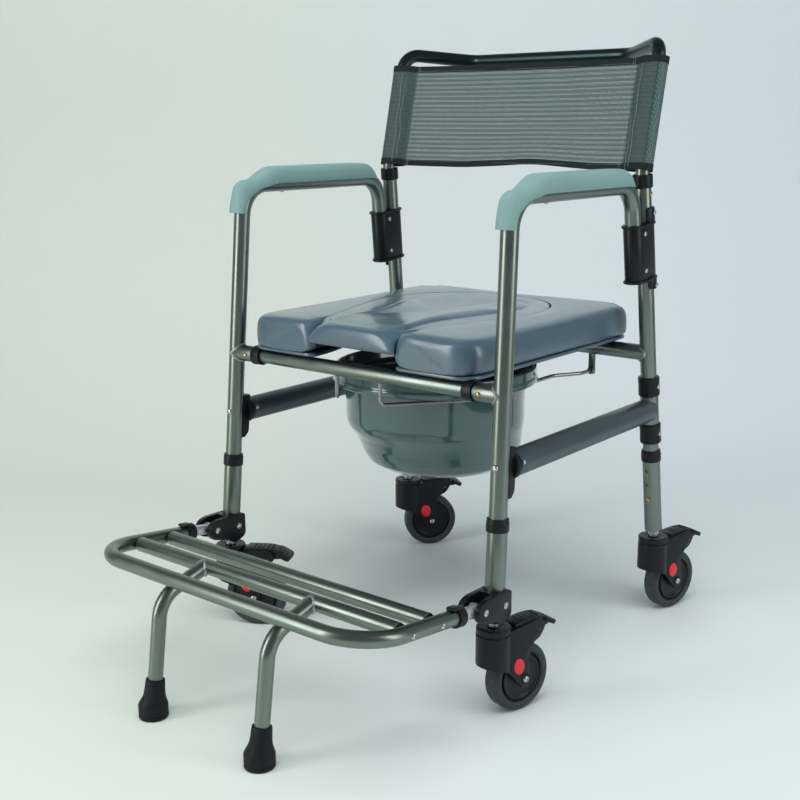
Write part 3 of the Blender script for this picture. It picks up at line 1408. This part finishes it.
class CHAIR_OT_pan(bpy.types.Operator):
    """Glossy pan with a flanged rim, and the two wire rods that carry it"""

    bl_idname = "chair.pan"
    bl_label = "Pan"

    def execute(self, context):
        rings = []
        for radius, height, shift in eased(PAN_RINGS, 0.003, closed=False):
            rings.append([(x, PAN_Y + shift + y, height) for x, y in oval(112, radius)])
        dress("commode_pan", [(loft(rings), "pan_plastic")], "pan_plastic")

        level = ROD_LEVEL
        line = [Vector((0.0425, CROSSBAR_Y, 0.4443)), Vector((0.0425, CROSSBAR_Y, level))]
        for n in range(15):
            turn = math.radians(-39.0 + 68.0 * n / 14)
            line.append(Vector((0.1492 * math.cos(turn), PAN_Y + 0.1492 * math.sin(turn), level)))
        line += [(0.1305, 0.125, level), (TAB_X, 0.172, level), (TAB_X, 0.1975, level)]
        bends = [0.008] + [0.0] * 15 + [0.02, 0.02]
        eye = [(TAB_X + x, 0.1998, level + z) for x, z in oval(24, 0.0048)]
        wire = [
            (swept(line, 0.003, bends, "rod_steel", sides=16), "rod_steel"),
            (swept(eye, 0.0016, material="rod_steel", closed=True, sides=10), "rod_steel"),
        ]
        twins("pan_rod_{}", wire, "silver")
        return {"FINISHED"}


# Seat: the pad's opening as (X, Y, slope of its side) from the front to the middle of the rear
OPENING = (
    (0.0745, -0.205, 0.0095), (0.085, -0.155, 0.009), (0.102, -0.108, 0.0085), (0.1175, -0.062, 0.008),
    (0.131, -0.01, 0.0075), (0.1395, 0.04, 0.007), (0.1345, 0.088, 0.0065), (0.115, 0.13, 0.006),
    (0.082, 0.161, 0.0055), (0.042, 0.178, 0.005), (0.0, 0.183, 0.005),
)
# Front of each lobe: (inner X, inner Y, outer inset, outer Y, drop of the top)
LOBE_FRONT = (
    (0.0865, -0.2207, 0.036, -0.2207, 0.011),
    (0.08, -0.2185, 0.0223, -0.218, 0.0045),
    (0.0757, -0.2135, 0.0105, -0.2102, 0.0012),
)
SEAT_HALF = 0.214
SEAT_FRONT = -0.2207
SEAT_REAR = 0.2324
SEAT_CORNER = 0.036
PAD_LOW = 0.4752
PAD_HIGH = 0.5252
# Outer side of the pad: (inset, share of its height)
PAD_SIDE = (
    (0.0012, 0.0), (0.0004, 0.03), (-0.0002, 0.2), (-0.0006, 0.45), (0.0, 0.65), (0.0016, 0.8),
    (0.0048, 0.905), (0.0095, 0.965), (0.016, 0.992), (0.025, 1.0),
)
PAD_INNER = ((0.017, 1.0), (0.0085, 0.975), (0.0035, 0.905), (0.001, 0.8), (0.0, 0.6), (0.0, 0.3), (0.0, 0.0))
# Foot of the insert's raised rim, from the front to the middle of the rear
RIM = (
    (0.0735, -0.19), (0.069, -0.155), (0.0672, -0.12), (0.0735, -0.08), (0.088, -0.02), (0.0965, 0.03),
    (0.1025, 0.06), (0.1025, 0.088), (0.089, 0.117), (0.062, 0.136), (0.03, 0.1455), (0.0, 0.1475),
)
RIM_FRONT = ((0.0, -0.2256), (0.029, -0.225), (0.048, -0.2222), (0.061, -0.215), (0.069, -0.205))
# The insert's front corner at its bottom and at its top
INSERT_LOW = (
    (0.0, -0.2268), (0.05, -0.2268), (0.079, -0.2264), (0.0862, -0.2245), (0.0872, -0.2215),
    (0.08, -0.2185), (0.0762, -0.213),
)
INSERT_HIGH = (
    (0.0, -0.2264), (0.03, -0.226), (0.05, -0.2234), (0.063, -0.217), (0.0715, -0.208),
    (0.0765, -0.201), (0.08, -0.196),
)


def seat_outline(inset):
    """The seat's plan with its open front, counter-clockwise, inset all round."""
    half, front, rear = SEAT_HALF - inset, SEAT_FRONT + inset, SEAT_REAR - inset
    outer = [(half, front), (half, rear)]
    inner = [(max(0.0, x + inset), y + inset / 2) for x, y, _ in OPENING[1:-1]]
    inner = [(OPENING[0][0] + inset, front)] + inner + [(0.0, OPENING[-1][1] + inset)]
    left = [(-x, y) for x, y in reversed(outer)]
    right_inner = [(-x, y) for x, y in inner[:-1]]
    corners = outer + left + right_inner + list(reversed(inner))
    rounded = []
    for n, corner in enumerate(corners):
        here = Vector(corner)
        before = Vector(corners[n - 1]) - here
        after = Vector(corners[(n + 1) % len(corners)]) - here
        reach = SEAT_CORNER if n < 4 else min(0.02, before.length * 0.4, after.length * 0.4)
        for k in range(9):
            share = k / 8
            first = here + before.normalized() * reach
            last = here + after.normalized() * reach
            rounded.append(tuple(first * (1 - share) ** 2 + here * 2 * share * (1 - share) + last * share**2))
    return rounded


def pad_stations():
    """(outer X, outer Y, inner X, inner Y, slope, drop) round the left half, from the lobe to the rear."""
    outer = [(SEAT_HALF, y) for y in (-0.185, -0.14, -0.093, -0.045, 0.01, 0.065)]
    for n in range(4):
        turn = 0.15 + (math.pi / 2 - 0.15) * n / 3
        x = SEAT_HALF + SEAT_CORNER * (math.cos(turn) - 1)
        outer.append((x, SEAT_REAR + SEAT_CORNER * (math.sin(turn) - 1)))
    outer.append((0.0, SEAT_REAR))
    stations = []
    for ix, iy, inset, oy, drop in LOBE_FRONT:
        stations.append((SEAT_HALF - inset, oy, ix, iy, OPENING[0][2], drop))
    for (ox, oy), (ix, iy, slope) in zip(outer, OPENING):
        stations.append((ox, oy, ix, iy, slope, 0.0))
    return spline(stations, 5)


def pad_loop(station):
    """One section of the pad. Its inner edge is rolled at the lobe's front and sharp beside the insert."""
    ox, oy, ix, iy, slope, drop = station
    outer, inner = Vector((ox, oy, 0)), Vector((ix, iy, 0))
    width = (inner - outer).length
    way = (inner - outer).normalized()
    high = PAD_HIGH - drop
    roll = min(1.0, max(0.03, (-0.165 - iy) / 0.03))
    side = high - 0.002
    line = [outer + way * inset + UP * (PAD_LOW + (side - PAD_LOW) * share) for inset, share in PAD_SIDE]
    for share in (0.2, 0.4, 0.6, 0.8):
        crown = 0.002 * math.sin(math.pi / 2 * share)
        line.append(outer + way * (0.025 + (width - 0.045) * share) + UP * (side + crown))
    for inset, share in PAD_INNER:
        share = 1 - (1 - share) * roll if share > 0.59 else share
        reach = width - inset * roll - slope * share
        line.append(outer + way * reach + UP * (PAD_LOW + (high - PAD_LOW) * share))
    for share in (0.25, 0.5, 0.75):
        line.append(outer + way * width * (1 - share) + UP * PAD_LOW)
    return line


def shrunk(line, share):
    """A loop drawn towards its own middle."""
    middle = sum(line, Vector()) / len(line)
    return [middle.lerp(point, share) for point in line]


def seat_pad_shape():
    """The horseshoe pad in its own place, and its vertices that the simulation holds still."""
    half = [pad_loop(station) for station in pad_stations()]
    cap = [shrunk(half[0], share) for share in (0.05, 0.35, 0.65, 0.88, 0.97)]
    half = cap + half
    other = [[Vector((-point.x, point.y, point.z)) for point in line] for line in reversed(half[:-1])]
    mesh = loft(half + other)
    count = len(half[0])
    still = {0, 1, *range(len(PAD_SIDE) + 4, count)}
    return mesh, [n for n in range(len(mesh.vertices)) if n % count in still]


def opening_at(y, share):
    """Half the width of the pad's opening at y, at a share of the pad's height."""
    for (x0, y0, s0), (x1, y1, s1) in zip(OPENING, OPENING[1:]):
        if y0 <= y <= y1:
            part = (y - y0) / (y1 - y0)
            return x0 + (x1 - x0) * part + share * (s0 + (s1 - s0) * part)
    return OPENING[0][0] + share * OPENING[0][2]


def closed_line(right, count=60):
    """A closed plan from its right half, front middle to rear middle, with count even steps a side."""
    even, _ = evenly(spline([(x, y, 0) for x, y in right], 10), count)
    return even + [Vector((-point.x, point.y, 0)) for point in reversed(even[1:-1])]


def drawn_in(line, inset):
    """A plan drawn towards the middle of the opening, by a distance or by one that depends on Y."""
    centre = Vector((0, -0.02, 0))
    reach = inset if callable(inset) else lambda y: inset
    return [point + (centre - point).normalized() * reach(point.y) for point in line]


def front_share(y):
    """1 along the insert's front, 0 where it lies between the lobes."""
    return min(1.0, max(0.0, (-0.18 - y) / 0.026))


def edge_drop(point):
    """How far the insert's edge lies below the pad's top beside the lobes."""
    line = ((-0.222, 0.0075), (-0.204, 0.0042), (-0.184, 0.0016), (-0.158, 0.0005), (-0.13, 0.0))
    side = min(1.0, max(0.0, (abs(point.x) - 0.06) / 0.012))
    for (y0, d0), (y1, d1) in zip(line, line[1:]):
        if y0 <= point.y <= y1:
            return side * (d0 + (d1 - d0) * (point.y - y0) / (y1 - y0))
    return 0.0


def groove_share(y):
    """0 along the insert's front, 1 from where its rim runs between the lobes."""
    return min(1.0, max(0.0, (y + 0.207) / 0.012))


def insert_plan(share, corner):
    """The insert's plan at a share of the pad's height, its front corner between the low and high ones."""
    right = []
    for (x0, y0), (x1, y1) in zip(INSERT_LOW, INSERT_HIGH):
        right.append((x0 * (1 - corner) + x1 * corner, y0 * (1 - corner) + y1 * corner))
    for y in (-0.175, -0.14, -0.1, -0.06, -0.015, 0.03, 0.075, 0.11, 0.138, 0.16):
        right.append((opening_at(y, share) - 0.0003, y))
    right += [(0.0422 + 0.005 * share, 0.1775 + 0.003 * share), (0.0, 0.1823 + 0.003 * share)]
    return closed_line(right)


def insert_shape():
    """The insert: sides that follow the opening, a level edge, a rounded rim and a shallow dish."""
    low = PAD_LOW + 0.0168
    rings = []
    for inset, rise in ((0.09, 0.0), (0.05, 0.0), (0.014, 0.0), (0.003, 0.0), (0.0006, 0.0012)):
        rings.append([point + UP * (low + rise) for point in drawn_in(insert_plan(0.36, 0.0), inset)])
    for rise, corner, inset, drop in (
        (0.2, 0.0, 0.0, 0.0), (0.36, 0.12, 0.0, 0.0), (0.55, 0.35, 0.0, 0.0), (0.75, 0.65, 0.0004, 0.0),
        (0.9, 0.85, 0.0016, 0.0006), (0.97, 0.95, 0.004, 0.0012), (0.995, 1.0, 0.008, 0.0008),
        (1.0, 1.0, 0.0125, 0.0),
    ):
        line = drawn_in(insert_plan(0.36 + 0.64 * rise, corner), lambda y: 0.0002 + inset * front_share(y))
        lower = edge_drop if rise > 0.8 else lambda point: 0.0
        level = low + (PAD_HIGH - low) * rise
        rings.append([point + UP * (level - drop * front_share(point.y) - lower(point)) for point in line])
    still = len(rings)
    outer, foot = rings[-1], closed_line((*RIM_FRONT, *RIM))
    foot = drawn_in(foot, lambda y: 0.0125 * front_share(y))
    for share in (0.3, 0.7, 0.97):
        rings.append([a.lerp(b + UP * (PAD_HIGH - edge_drop(b)), share) for a, b in zip(outer, foot)])
    for inset, rise in (
        (0.0004, -0.002), (0.0014, -0.001), (0.004, 0.001), (0.009, 0.0027), (0.015, 0.0038),
        (0.022, 0.0042), (0.03, 0.0038),
    ):
        line = drawn_in(foot, inset)
        if rise > 0:
            levels = [rise * (1 - 0.9 * front_share(point.y)) for point in line]
        else:
            levels = [rise * groove_share(point.y) - edge_drop(point) for point in line]
        rings.append([point + UP * (PAD_HIGH + level) for point, level in zip(line, levels)])
    crest = drawn_in(foot, 0.03)
    for share in (0.8, 0.6, 0.4, 0.2, 0.05):
        line = []
        for point in crest:
            edge = 0.0038 * (1 - 0.9 * front_share(point.y))
            dish = edge + (-0.0022 - edge) * (1 - share**2)
            line.append(Vector((point.x * share, (point.y + 0.02) * share - 0.02, PAD_HIGH + dish)))
        rings.append(line)
    mesh = loft(rings)
    return mesh, list(range(len(rings[0]) * (still + 4)))


PRESSURE = 4.0
CLOTH_FRAMES = 20


def cushion(mesh, held):
    """A soft piece blown up a little by a cloth simulation, with its held vertices still."""
    mesh = moved(mesh, HOME)
    rest = [vertex.co.copy() for vertex in mesh.vertices]
    carrier = carrier_of(mesh.copy())
    carrier.vertex_groups.new(name="held").add(held, 1.0, "ADD")
    cloth = carrier.modifiers.new("cloth", "CLOTH")
    cloth.settings.quality = 6
    cloth.settings.mass = 0.3
    cloth.settings.tension_stiffness = 40
    cloth.settings.compression_stiffness = 40
    cloth.settings.bending_stiffness = 4
    cloth.settings.use_pressure = True
    cloth.settings.uniform_pressure_force = PRESSURE
    cloth.settings.vertex_group_mass = "held"
    cloth.settings.effector_weights.gravity = 0
    cloth.point_cache.frame_start = 1
    cloth.point_cache.frame_end = CLOTH_FRAMES
    for number in range(1, CLOTH_FRAMES + 1):
        step_to(number)
    mesh = evaluated(carrier)
    step_to(1)
    if len(mesh.vertices) != len(rest):
        raise RuntimeError("the cloth simulation changed a cushion's mesh")
    limit = sizes().swell
    for vertex, home in zip(mesh.vertices, rest):
        step = vertex.co - home
        if step.length > limit:
            vertex.co = home + step * (limit / step.length)
    carrier = carrier_of(mesh)
    relax = carrier.modifiers.new("relax", "CORRECTIVE_SMOOTH")
    relax.use_only_smooth = True
    relax.iterations = 2
    relax.factor = 0.3
    fine = carrier.modifiers.new("fine", "SUBSURF")
    fine.levels = 1
    fine.render_levels = 1
    return evaluated(carrier)


def step_to(number):
    bpy.context.scene.frame_set(number)
    bpy.context.view_layer.update()


class CHAIR_OT_seat(bpy.types.Operator):
    """Covered seat board with its clips, padded seat with its seam, and the insert"""

    bl_idname = "chair.seat"
    bl_label = "Seat"

    def execute(self, context):
        band = prism(seat_outline(0.0008), 0.4692, 0.4749, "Z", 0.0024)
        board = prism(seat_outline(0.013), 0.4669, 0.474, "Z", 0.0006)
        notches = []
        for sign in (1, -1):
            start = Vector((sign * 0.196, CROSSBAR_Y, CROSSBAR_Z))
            notches.append(ring(start, start + RIGHT * sign * 0.05, 0.0158, 0))
        hollow = ring(REAR_TUBE - RIGHT * 0.25, REAR_TUBE + RIGHT * 0.25, TUBE + 0.0003, 0)
        parts = [(carved(band, *notches, hollow), "vinyl"), (carved(board, *notches, hollow), "base_cloth")]
        mouth = prism(((-0.03, -0.03), (0.03, -0.03), (0.03, -0.0042), (-0.03, -0.0042)), -0.3, 0.3, "X")
        mouth.transform(Matrix.Translation(REAR_TUBE))
        for sign in (1, -1):
            middle = REAR_TUBE + RIGHT * sign * 0.11
            clip = ring(middle - RIGHT * 0.012, middle + RIGHT * 0.012, 0.0168, 0.0012, TUBE + 0.0003)
            parts.append((carved(clip, mouth), "black_plastic"))
        dress("seat_base", parts, "vinyl")

        pad = cushion(*seat_pad_shape())
        made = dress("seat_pad", [(pad, "vinyl")], "vinyl", matrix=Matrix(), angle=55)
        insert = cushion(*insert_shape())
        made = dress("seat_insert", [(insert, "vinyl")], "vinyl", matrix=Matrix(), angle=55)
        return {"FINISHED"}


# Arm pads, sections round the front bend:
# (angle, lift off the tube's line, half width, outward, inward, squareness)
PAD_BEND = (
    (173.0, 0.0092, 0.015, 0.0111, 0.002, 2.4),
    (160.0, 0.0078, 0.0153, 0.0139, 0.002, 2.4),
    (148.0, 0.0057, 0.0157, 0.02, 0.002, 2.4),
    (139.5, 0.0035, 0.0162, 0.0252, 0.002, 2.4),
    (130.0, 0.0012, 0.0165, 0.0238, 0.002, 2.5),
    (120.0, 0.0, 0.0168, 0.018, 0.002, 2.5),
    (108.0, -0.0012, 0.0173, 0.0189, 0.0016, 2.6),
    (97.0, -0.002, 0.0181, 0.0235, 0.0014, 2.8),
)
# The same along the arm: (Y, lift, half width, outward, inward, squareness)
PAD_ARM = (
    (-0.13255, -0.0008, 0.0186, 0.027, 0.0014, 3.2),
    (-0.118, 0.0, 0.019, 0.0277, 0.0014, 3.6),
    (-0.104, 0.0, 0.019, 0.0277, 0.0014, 3.6),
    (-0.08, 0.0, 0.019, 0.0277, 0.0014, 3.6),
    (-0.04, 0.0, 0.019, 0.0277, 0.0014, 3.6),
    (0.01, 0.0, 0.019, 0.0277, 0.0014, 3.6),
    (0.05, 0.0, 0.019, 0.0276, 0.0014, 3.6),
    (0.08, 0.0, 0.019, 0.0271, 0.0015, 3.5),
    (0.096, 0.0, 0.0189, 0.0262, 0.0016, 3.4),
    (0.105, 0.0, 0.0187, 0.024, 0.0018, 3.2),
    (0.113, -0.0004, 0.0184, 0.019, 0.0018, 3.0),
    (0.1185, -0.0012, 0.0179, 0.0105, 0.0016, 2.8),
    (0.1215, -0.0022, 0.0172, 0.001, 0.0012, 2.6),
)
PAD_BEND_Y = -0.13765


def pad_ring(section, points=48):
    y, z, angle, half, outward, inward, square = section
    out = Vector((0, math.cos(math.radians(angle)), math.sin(math.radians(angle))))
    line = []
    for n in range(points):
        turn = TURN * n / points
        x = math.copysign(abs(math.cos(turn)) ** (2 / square), math.cos(turn)) * half
        reach = math.copysign(abs(math.sin(turn)) ** (2 / square), math.sin(turn))
        reach *= outward if reach > 0 else inward
        line.append(in_side(y, z) + RIGHT * x + out * reach)
    return line


def pad_sections():
    """(Y, Z, angle, half width, outward, inward, squareness) from the front end to the rear."""
    sections = []
    for degrees, lift, *shape in PAD_BEND:
        angle = math.radians(degrees)
        reach = ARM_BEND + lift
        y = PAD_BEND_Y + reach * math.cos(angle)
        sections.append(Vector((y, ARM_Z - ARM_BEND + reach * math.sin(angle), degrees, *shape)))
    for y, lift, half, outward, inward, square in PAD_ARM:
        shape = (half, outward - 0.0012, inward - 0.0009, square)
        sections.append(Vector((y, ARM_Z + lift + 0.0012, 90.0, *shape)))
    return sections


class CHAIR_OT_arm_pads(bpy.types.Operator):
    """Moulded foam pads over the arms"""

    bl_idname = "chair.arm_pads"
    bl_label = "Arm Pads"

    def execute(self, context):
        rings = [pad_ring(section) for section in spline(pad_sections(), 5)]
        pad = loft(rings)
        spot = in_side(-0.099, ARM_Z - TUBE) + UP * 0.0003
        parts = [(pad, "arm_foam"), (screws([(spot, (0, 0, -1), 0.0036)]), "zinc")]
        twins("arm_pad_{}", parts, "arm_foam")
        return {"FINISHED"}


# Screws of the frame
class CHAIR_OT_fasteners(bpy.types.Operator):
    """Rivets, bolts and screws of the frame, and the brass snap buttons"""

    bl_idname = "chair.fasteners"
    bl_label = "Fasteners"

    def execute(self, context):
        spots = []
        for sign in (1, -1):
            slant = Vector((sign * 0.965, 0, 0.262))
            spots.append((in_side(-0.1805, RAIL_Z) + slant * (RAIL + 0.0003), slant, 0.0034))
        spots.append((front_leg(0.3594) - Vector((0, TUBE - 0.0004, 0)), (0, -1, 0.078), 0.005))
        for height in (0.3178, 0.397):
            spots.append((rear_leg(height) + OUTWARD * 0.0166, OUTWARD, 0.0036))
        for height in (0.645, 0.588):
            for way in (OUTWARD, -OUTWARD):
                spots.append((rear_leg(height) + Vector((0, BRACKET_SCREW_Y, 0)) + way * 0.0158, way, 0.004))
        for height in (0.5628, 0.675):
            spots.append((rear_leg(height) + tab_way(8) * 0.0174, tab_way(8), 0.004))
        loose_twins("frame_screws_{}", [(screws(spots), "zinc")])
        foot = Vector((TAB_X, REAR_TUBE.y + 0.002, ROD_LEVEL))
        screw = [
            (screws([(foot, (0, 1, 0), 0.0036)]), "zinc"),
            (ring(foot - REAR * 0.012, foot + REAR * 0.0095, 0.0018, 0.0008), "zinc"),
        ]
        loose_twins("pan_tab_screw_{}", screw)
        for node, placed in frame["nodes"].items():
            if "button" in node:
                placed.data.materials.clear()
                placed.data.materials.append(finish("brass"))
        return {"FINISHED"}


# Floor, light and camera
CAMERA_AT = Vector((1.1271, -1.4836, 0.8128))
CAMERA_TURN = (39.312, 13.224, -0.309)
FOCAL_LENGTH = 1181.41
PICTURE_WIDTH = 800
SENSOR = 36
# The backdrop across and along the camera's way: floor, a cove and a wall
BACKDROP_HALF = 5.0
COVE_START = 0.85
COVE = 0.9
WALL_TOP = 2.2
# (name, place, width, height, power, target)
LIGHTS = (
    ("left_softbox", (-1.15, -2.3, 1.2), 0.8, 2.2, 34.0, (0, 0, 0.6)),
    ("right_softbox", (2.45, 0.55, 1.3), 0.9, 2.0, 21.0, (0, 0, 0.6)),
    ("overhead", (0.75, -1.05, 3.3), 2.6, 2.6, 94.0, (0.35, -0.4, 0)),
)


def floor_cloth():
    """Pale cloth whose colour drifts from the left of the picture to the right."""
    graph = Graph("floor_cloth")
    drift = graph.noise(2.2, 4.0)
    x, y, _ = graph.parts_of(graph.place())
    side = graph.ramp(x * 0.774 + y * 0.633, -0.7, 0.7)
    base = graph.blend(side + drift * 0.2 - 0.1, colours().floor[:], colours().floor_right[:])
    return graph.surface(Base_Color=base, Roughness=0.8)


def backdrop_mesh():
    """Floor, cove and wall in one sheet, square to the camera's way."""
    profile = [(-BACKDROP_HALF, 0.0), (COVE_START - 0.1, 0.0)]
    for n in range(33):
        angle = math.pi / 2 * n / 32
        profile.append((COVE_START + COVE * math.sin(angle), COVE - COVE * math.cos(angle)))
    profile += [(COVE_START + COVE, COVE + 0.1), (COVE_START + COVE, WALL_TOP)]
    turn = Matrix.Rotation(math.radians(CAMERA_TURN[0]), 4, "Z")
    bm = bmesh.new()
    sides = []
    for x in (-BACKDROP_HALF, BACKDROP_HALF):
        sides.append([bm.verts.new(turn @ Vector((x, y, z))) for y, z in profile])
    for n in range(len(profile) - 1):
        bm.faces.new((sides[0][n], sides[1][n], sides[1][n + 1], sides[0][n + 1]))
    mesh = bpy.data.meshes.new("backdrop")
    bm.to_mesh(mesh)
    bm.free()
    mesh.shade_smooth()
    mesh.materials.append(floor_cloth())
    return mesh


def area_light(name, place, width, height, power, target):
    light = bpy.data.lights.new(name, "AREA")
    light.shape = "RECTANGLE"
    light.size = width
    light.size_y = height
    light.energy = power
    lamp = bpy.data.objects.new(name, light)
    lamp.location = place
    lamp.rotation_euler = (Vector(target) - Vector(place)).to_track_quat("-Z", "Y").to_euler()
    lamp.visible_camera = False
    lamp.visible_glossy = name != "overhead"
    bpy.context.scene.collection.objects.link(lamp)
    return lamp


def camera_home():
    """The camera's place, turned by its azimuth, then down by its pitch, then by its roll."""
    azimuth, pitch, roll = (math.radians(angle) for angle in CAMERA_TURN)
    level = math.cos(pitch)
    look = Vector((-math.sin(azimuth) * level, math.cos(azimuth) * level, -math.sin(pitch)))
    right = Vector((math.cos(azimuth), math.sin(azimuth), 0))
    above = right.cross(look)
    rolled = right * math.cos(roll) + above * math.sin(roll)
    above = above * math.cos(roll) - right * math.sin(roll)
    turned = Matrix((rolled, above, -look)).transposed().to_4x4()
    return HOME @ Matrix.Translation(CAMERA_AT) @ turned


class CHAIR_OT_studio(bpy.types.Operator):
    """Pale floor and backdrop, soft lights and the camera"""

    bl_idname = "chair.studio"
    bl_label = "Studio"

    def execute(self, context):
        scene = context.scene
        backdrop = carrier_of(backdrop_mesh(), "backdrop")
        for light in LIGHTS:
            lamp = area_light(*light)
        world = bpy.data.worlds.new("studio")
        world.use_nodes = True
        scene.world = world
        sky = world.node_tree.nodes["Background"]
        sky.inputs["Color"].default_value = (0.86, 0.93, 1.0, 1)
        sky.inputs["Strength"].default_value = 0.22
        data = bpy.data.cameras.new("camera")
        data.sensor_width = SENSOR
        data.lens = FOCAL_LENGTH / PICTURE_WIDTH * SENSOR
        data.clip_start = 0.05
        camera = bpy.data.objects.new("camera", data)
        camera.matrix_world = camera_home()
        scene.collection.objects.link(camera)
        scene.camera = camera
        scene.view_settings.view_transform = "Standard"
        return {"FINISHED"}


class CHAIR_PT_panel(bpy.types.Panel):
    """Sizes, colours and buttons of the chair"""

    bl_idname = "CHAIR_PT_panel"
    bl_label = "Wheeled Commode Chair"
    bl_space_type = "VIEW_3D"
    bl_region_type = "UI"
    bl_category = "Chair"

    def draw(self, context):
        for group in (context.scene.chair_sizes, context.scene.chair_colours):
            box = self.layout.box()
            for name in group.bl_rna.properties.keys():
                if name not in ("rna_type", "name"):
                    box.prop(group, name)
        for step in STEPS:
            self.layout.operator(step.bl_idname)


STEPS = (
    CHAIR_OT_side_tubes,
    CHAIR_OT_rear_frame,
    CHAIR_OT_crossbar,
    CHAIR_OT_side_rails,
    CHAIR_OT_arm_brackets,
    CHAIR_OT_back_frame,
    CHAIR_OT_back_mesh,
    CHAIR_OT_lower_legs,
    CHAIR_OT_casters,
    CHAIR_OT_clevises,
    CHAIR_OT_footrest,
    CHAIR_OT_pan,
    CHAIR_OT_seat,
    CHAIR_OT_arm_pads,
    CHAIR_OT_fasteners,
    CHAIR_OT_studio,
)
CLASSES = (ChairSizes, ChairColours, *STEPS, CHAIR_PT_panel)


def register():
    for made in CLASSES:
        bpy.utils.register_class(made)
    bpy.types.Scene.chair_sizes = bpy.props.PointerProperty(type=ChairSizes)
    bpy.types.Scene.chair_colours = bpy.props.PointerProperty(type=ChairColours)


def unregister():
    del bpy.types.Scene.chair_colours
    del bpy.types.Scene.chair_sizes
    for made in reversed(CLASSES):
        bpy.utils.unregister_class(made)


def main():
    register()
    for step in STEPS:
        getattr(bpy.ops.chair, step.bl_idname.split(".")[1])()


if __name__ == "__main__":
    main()
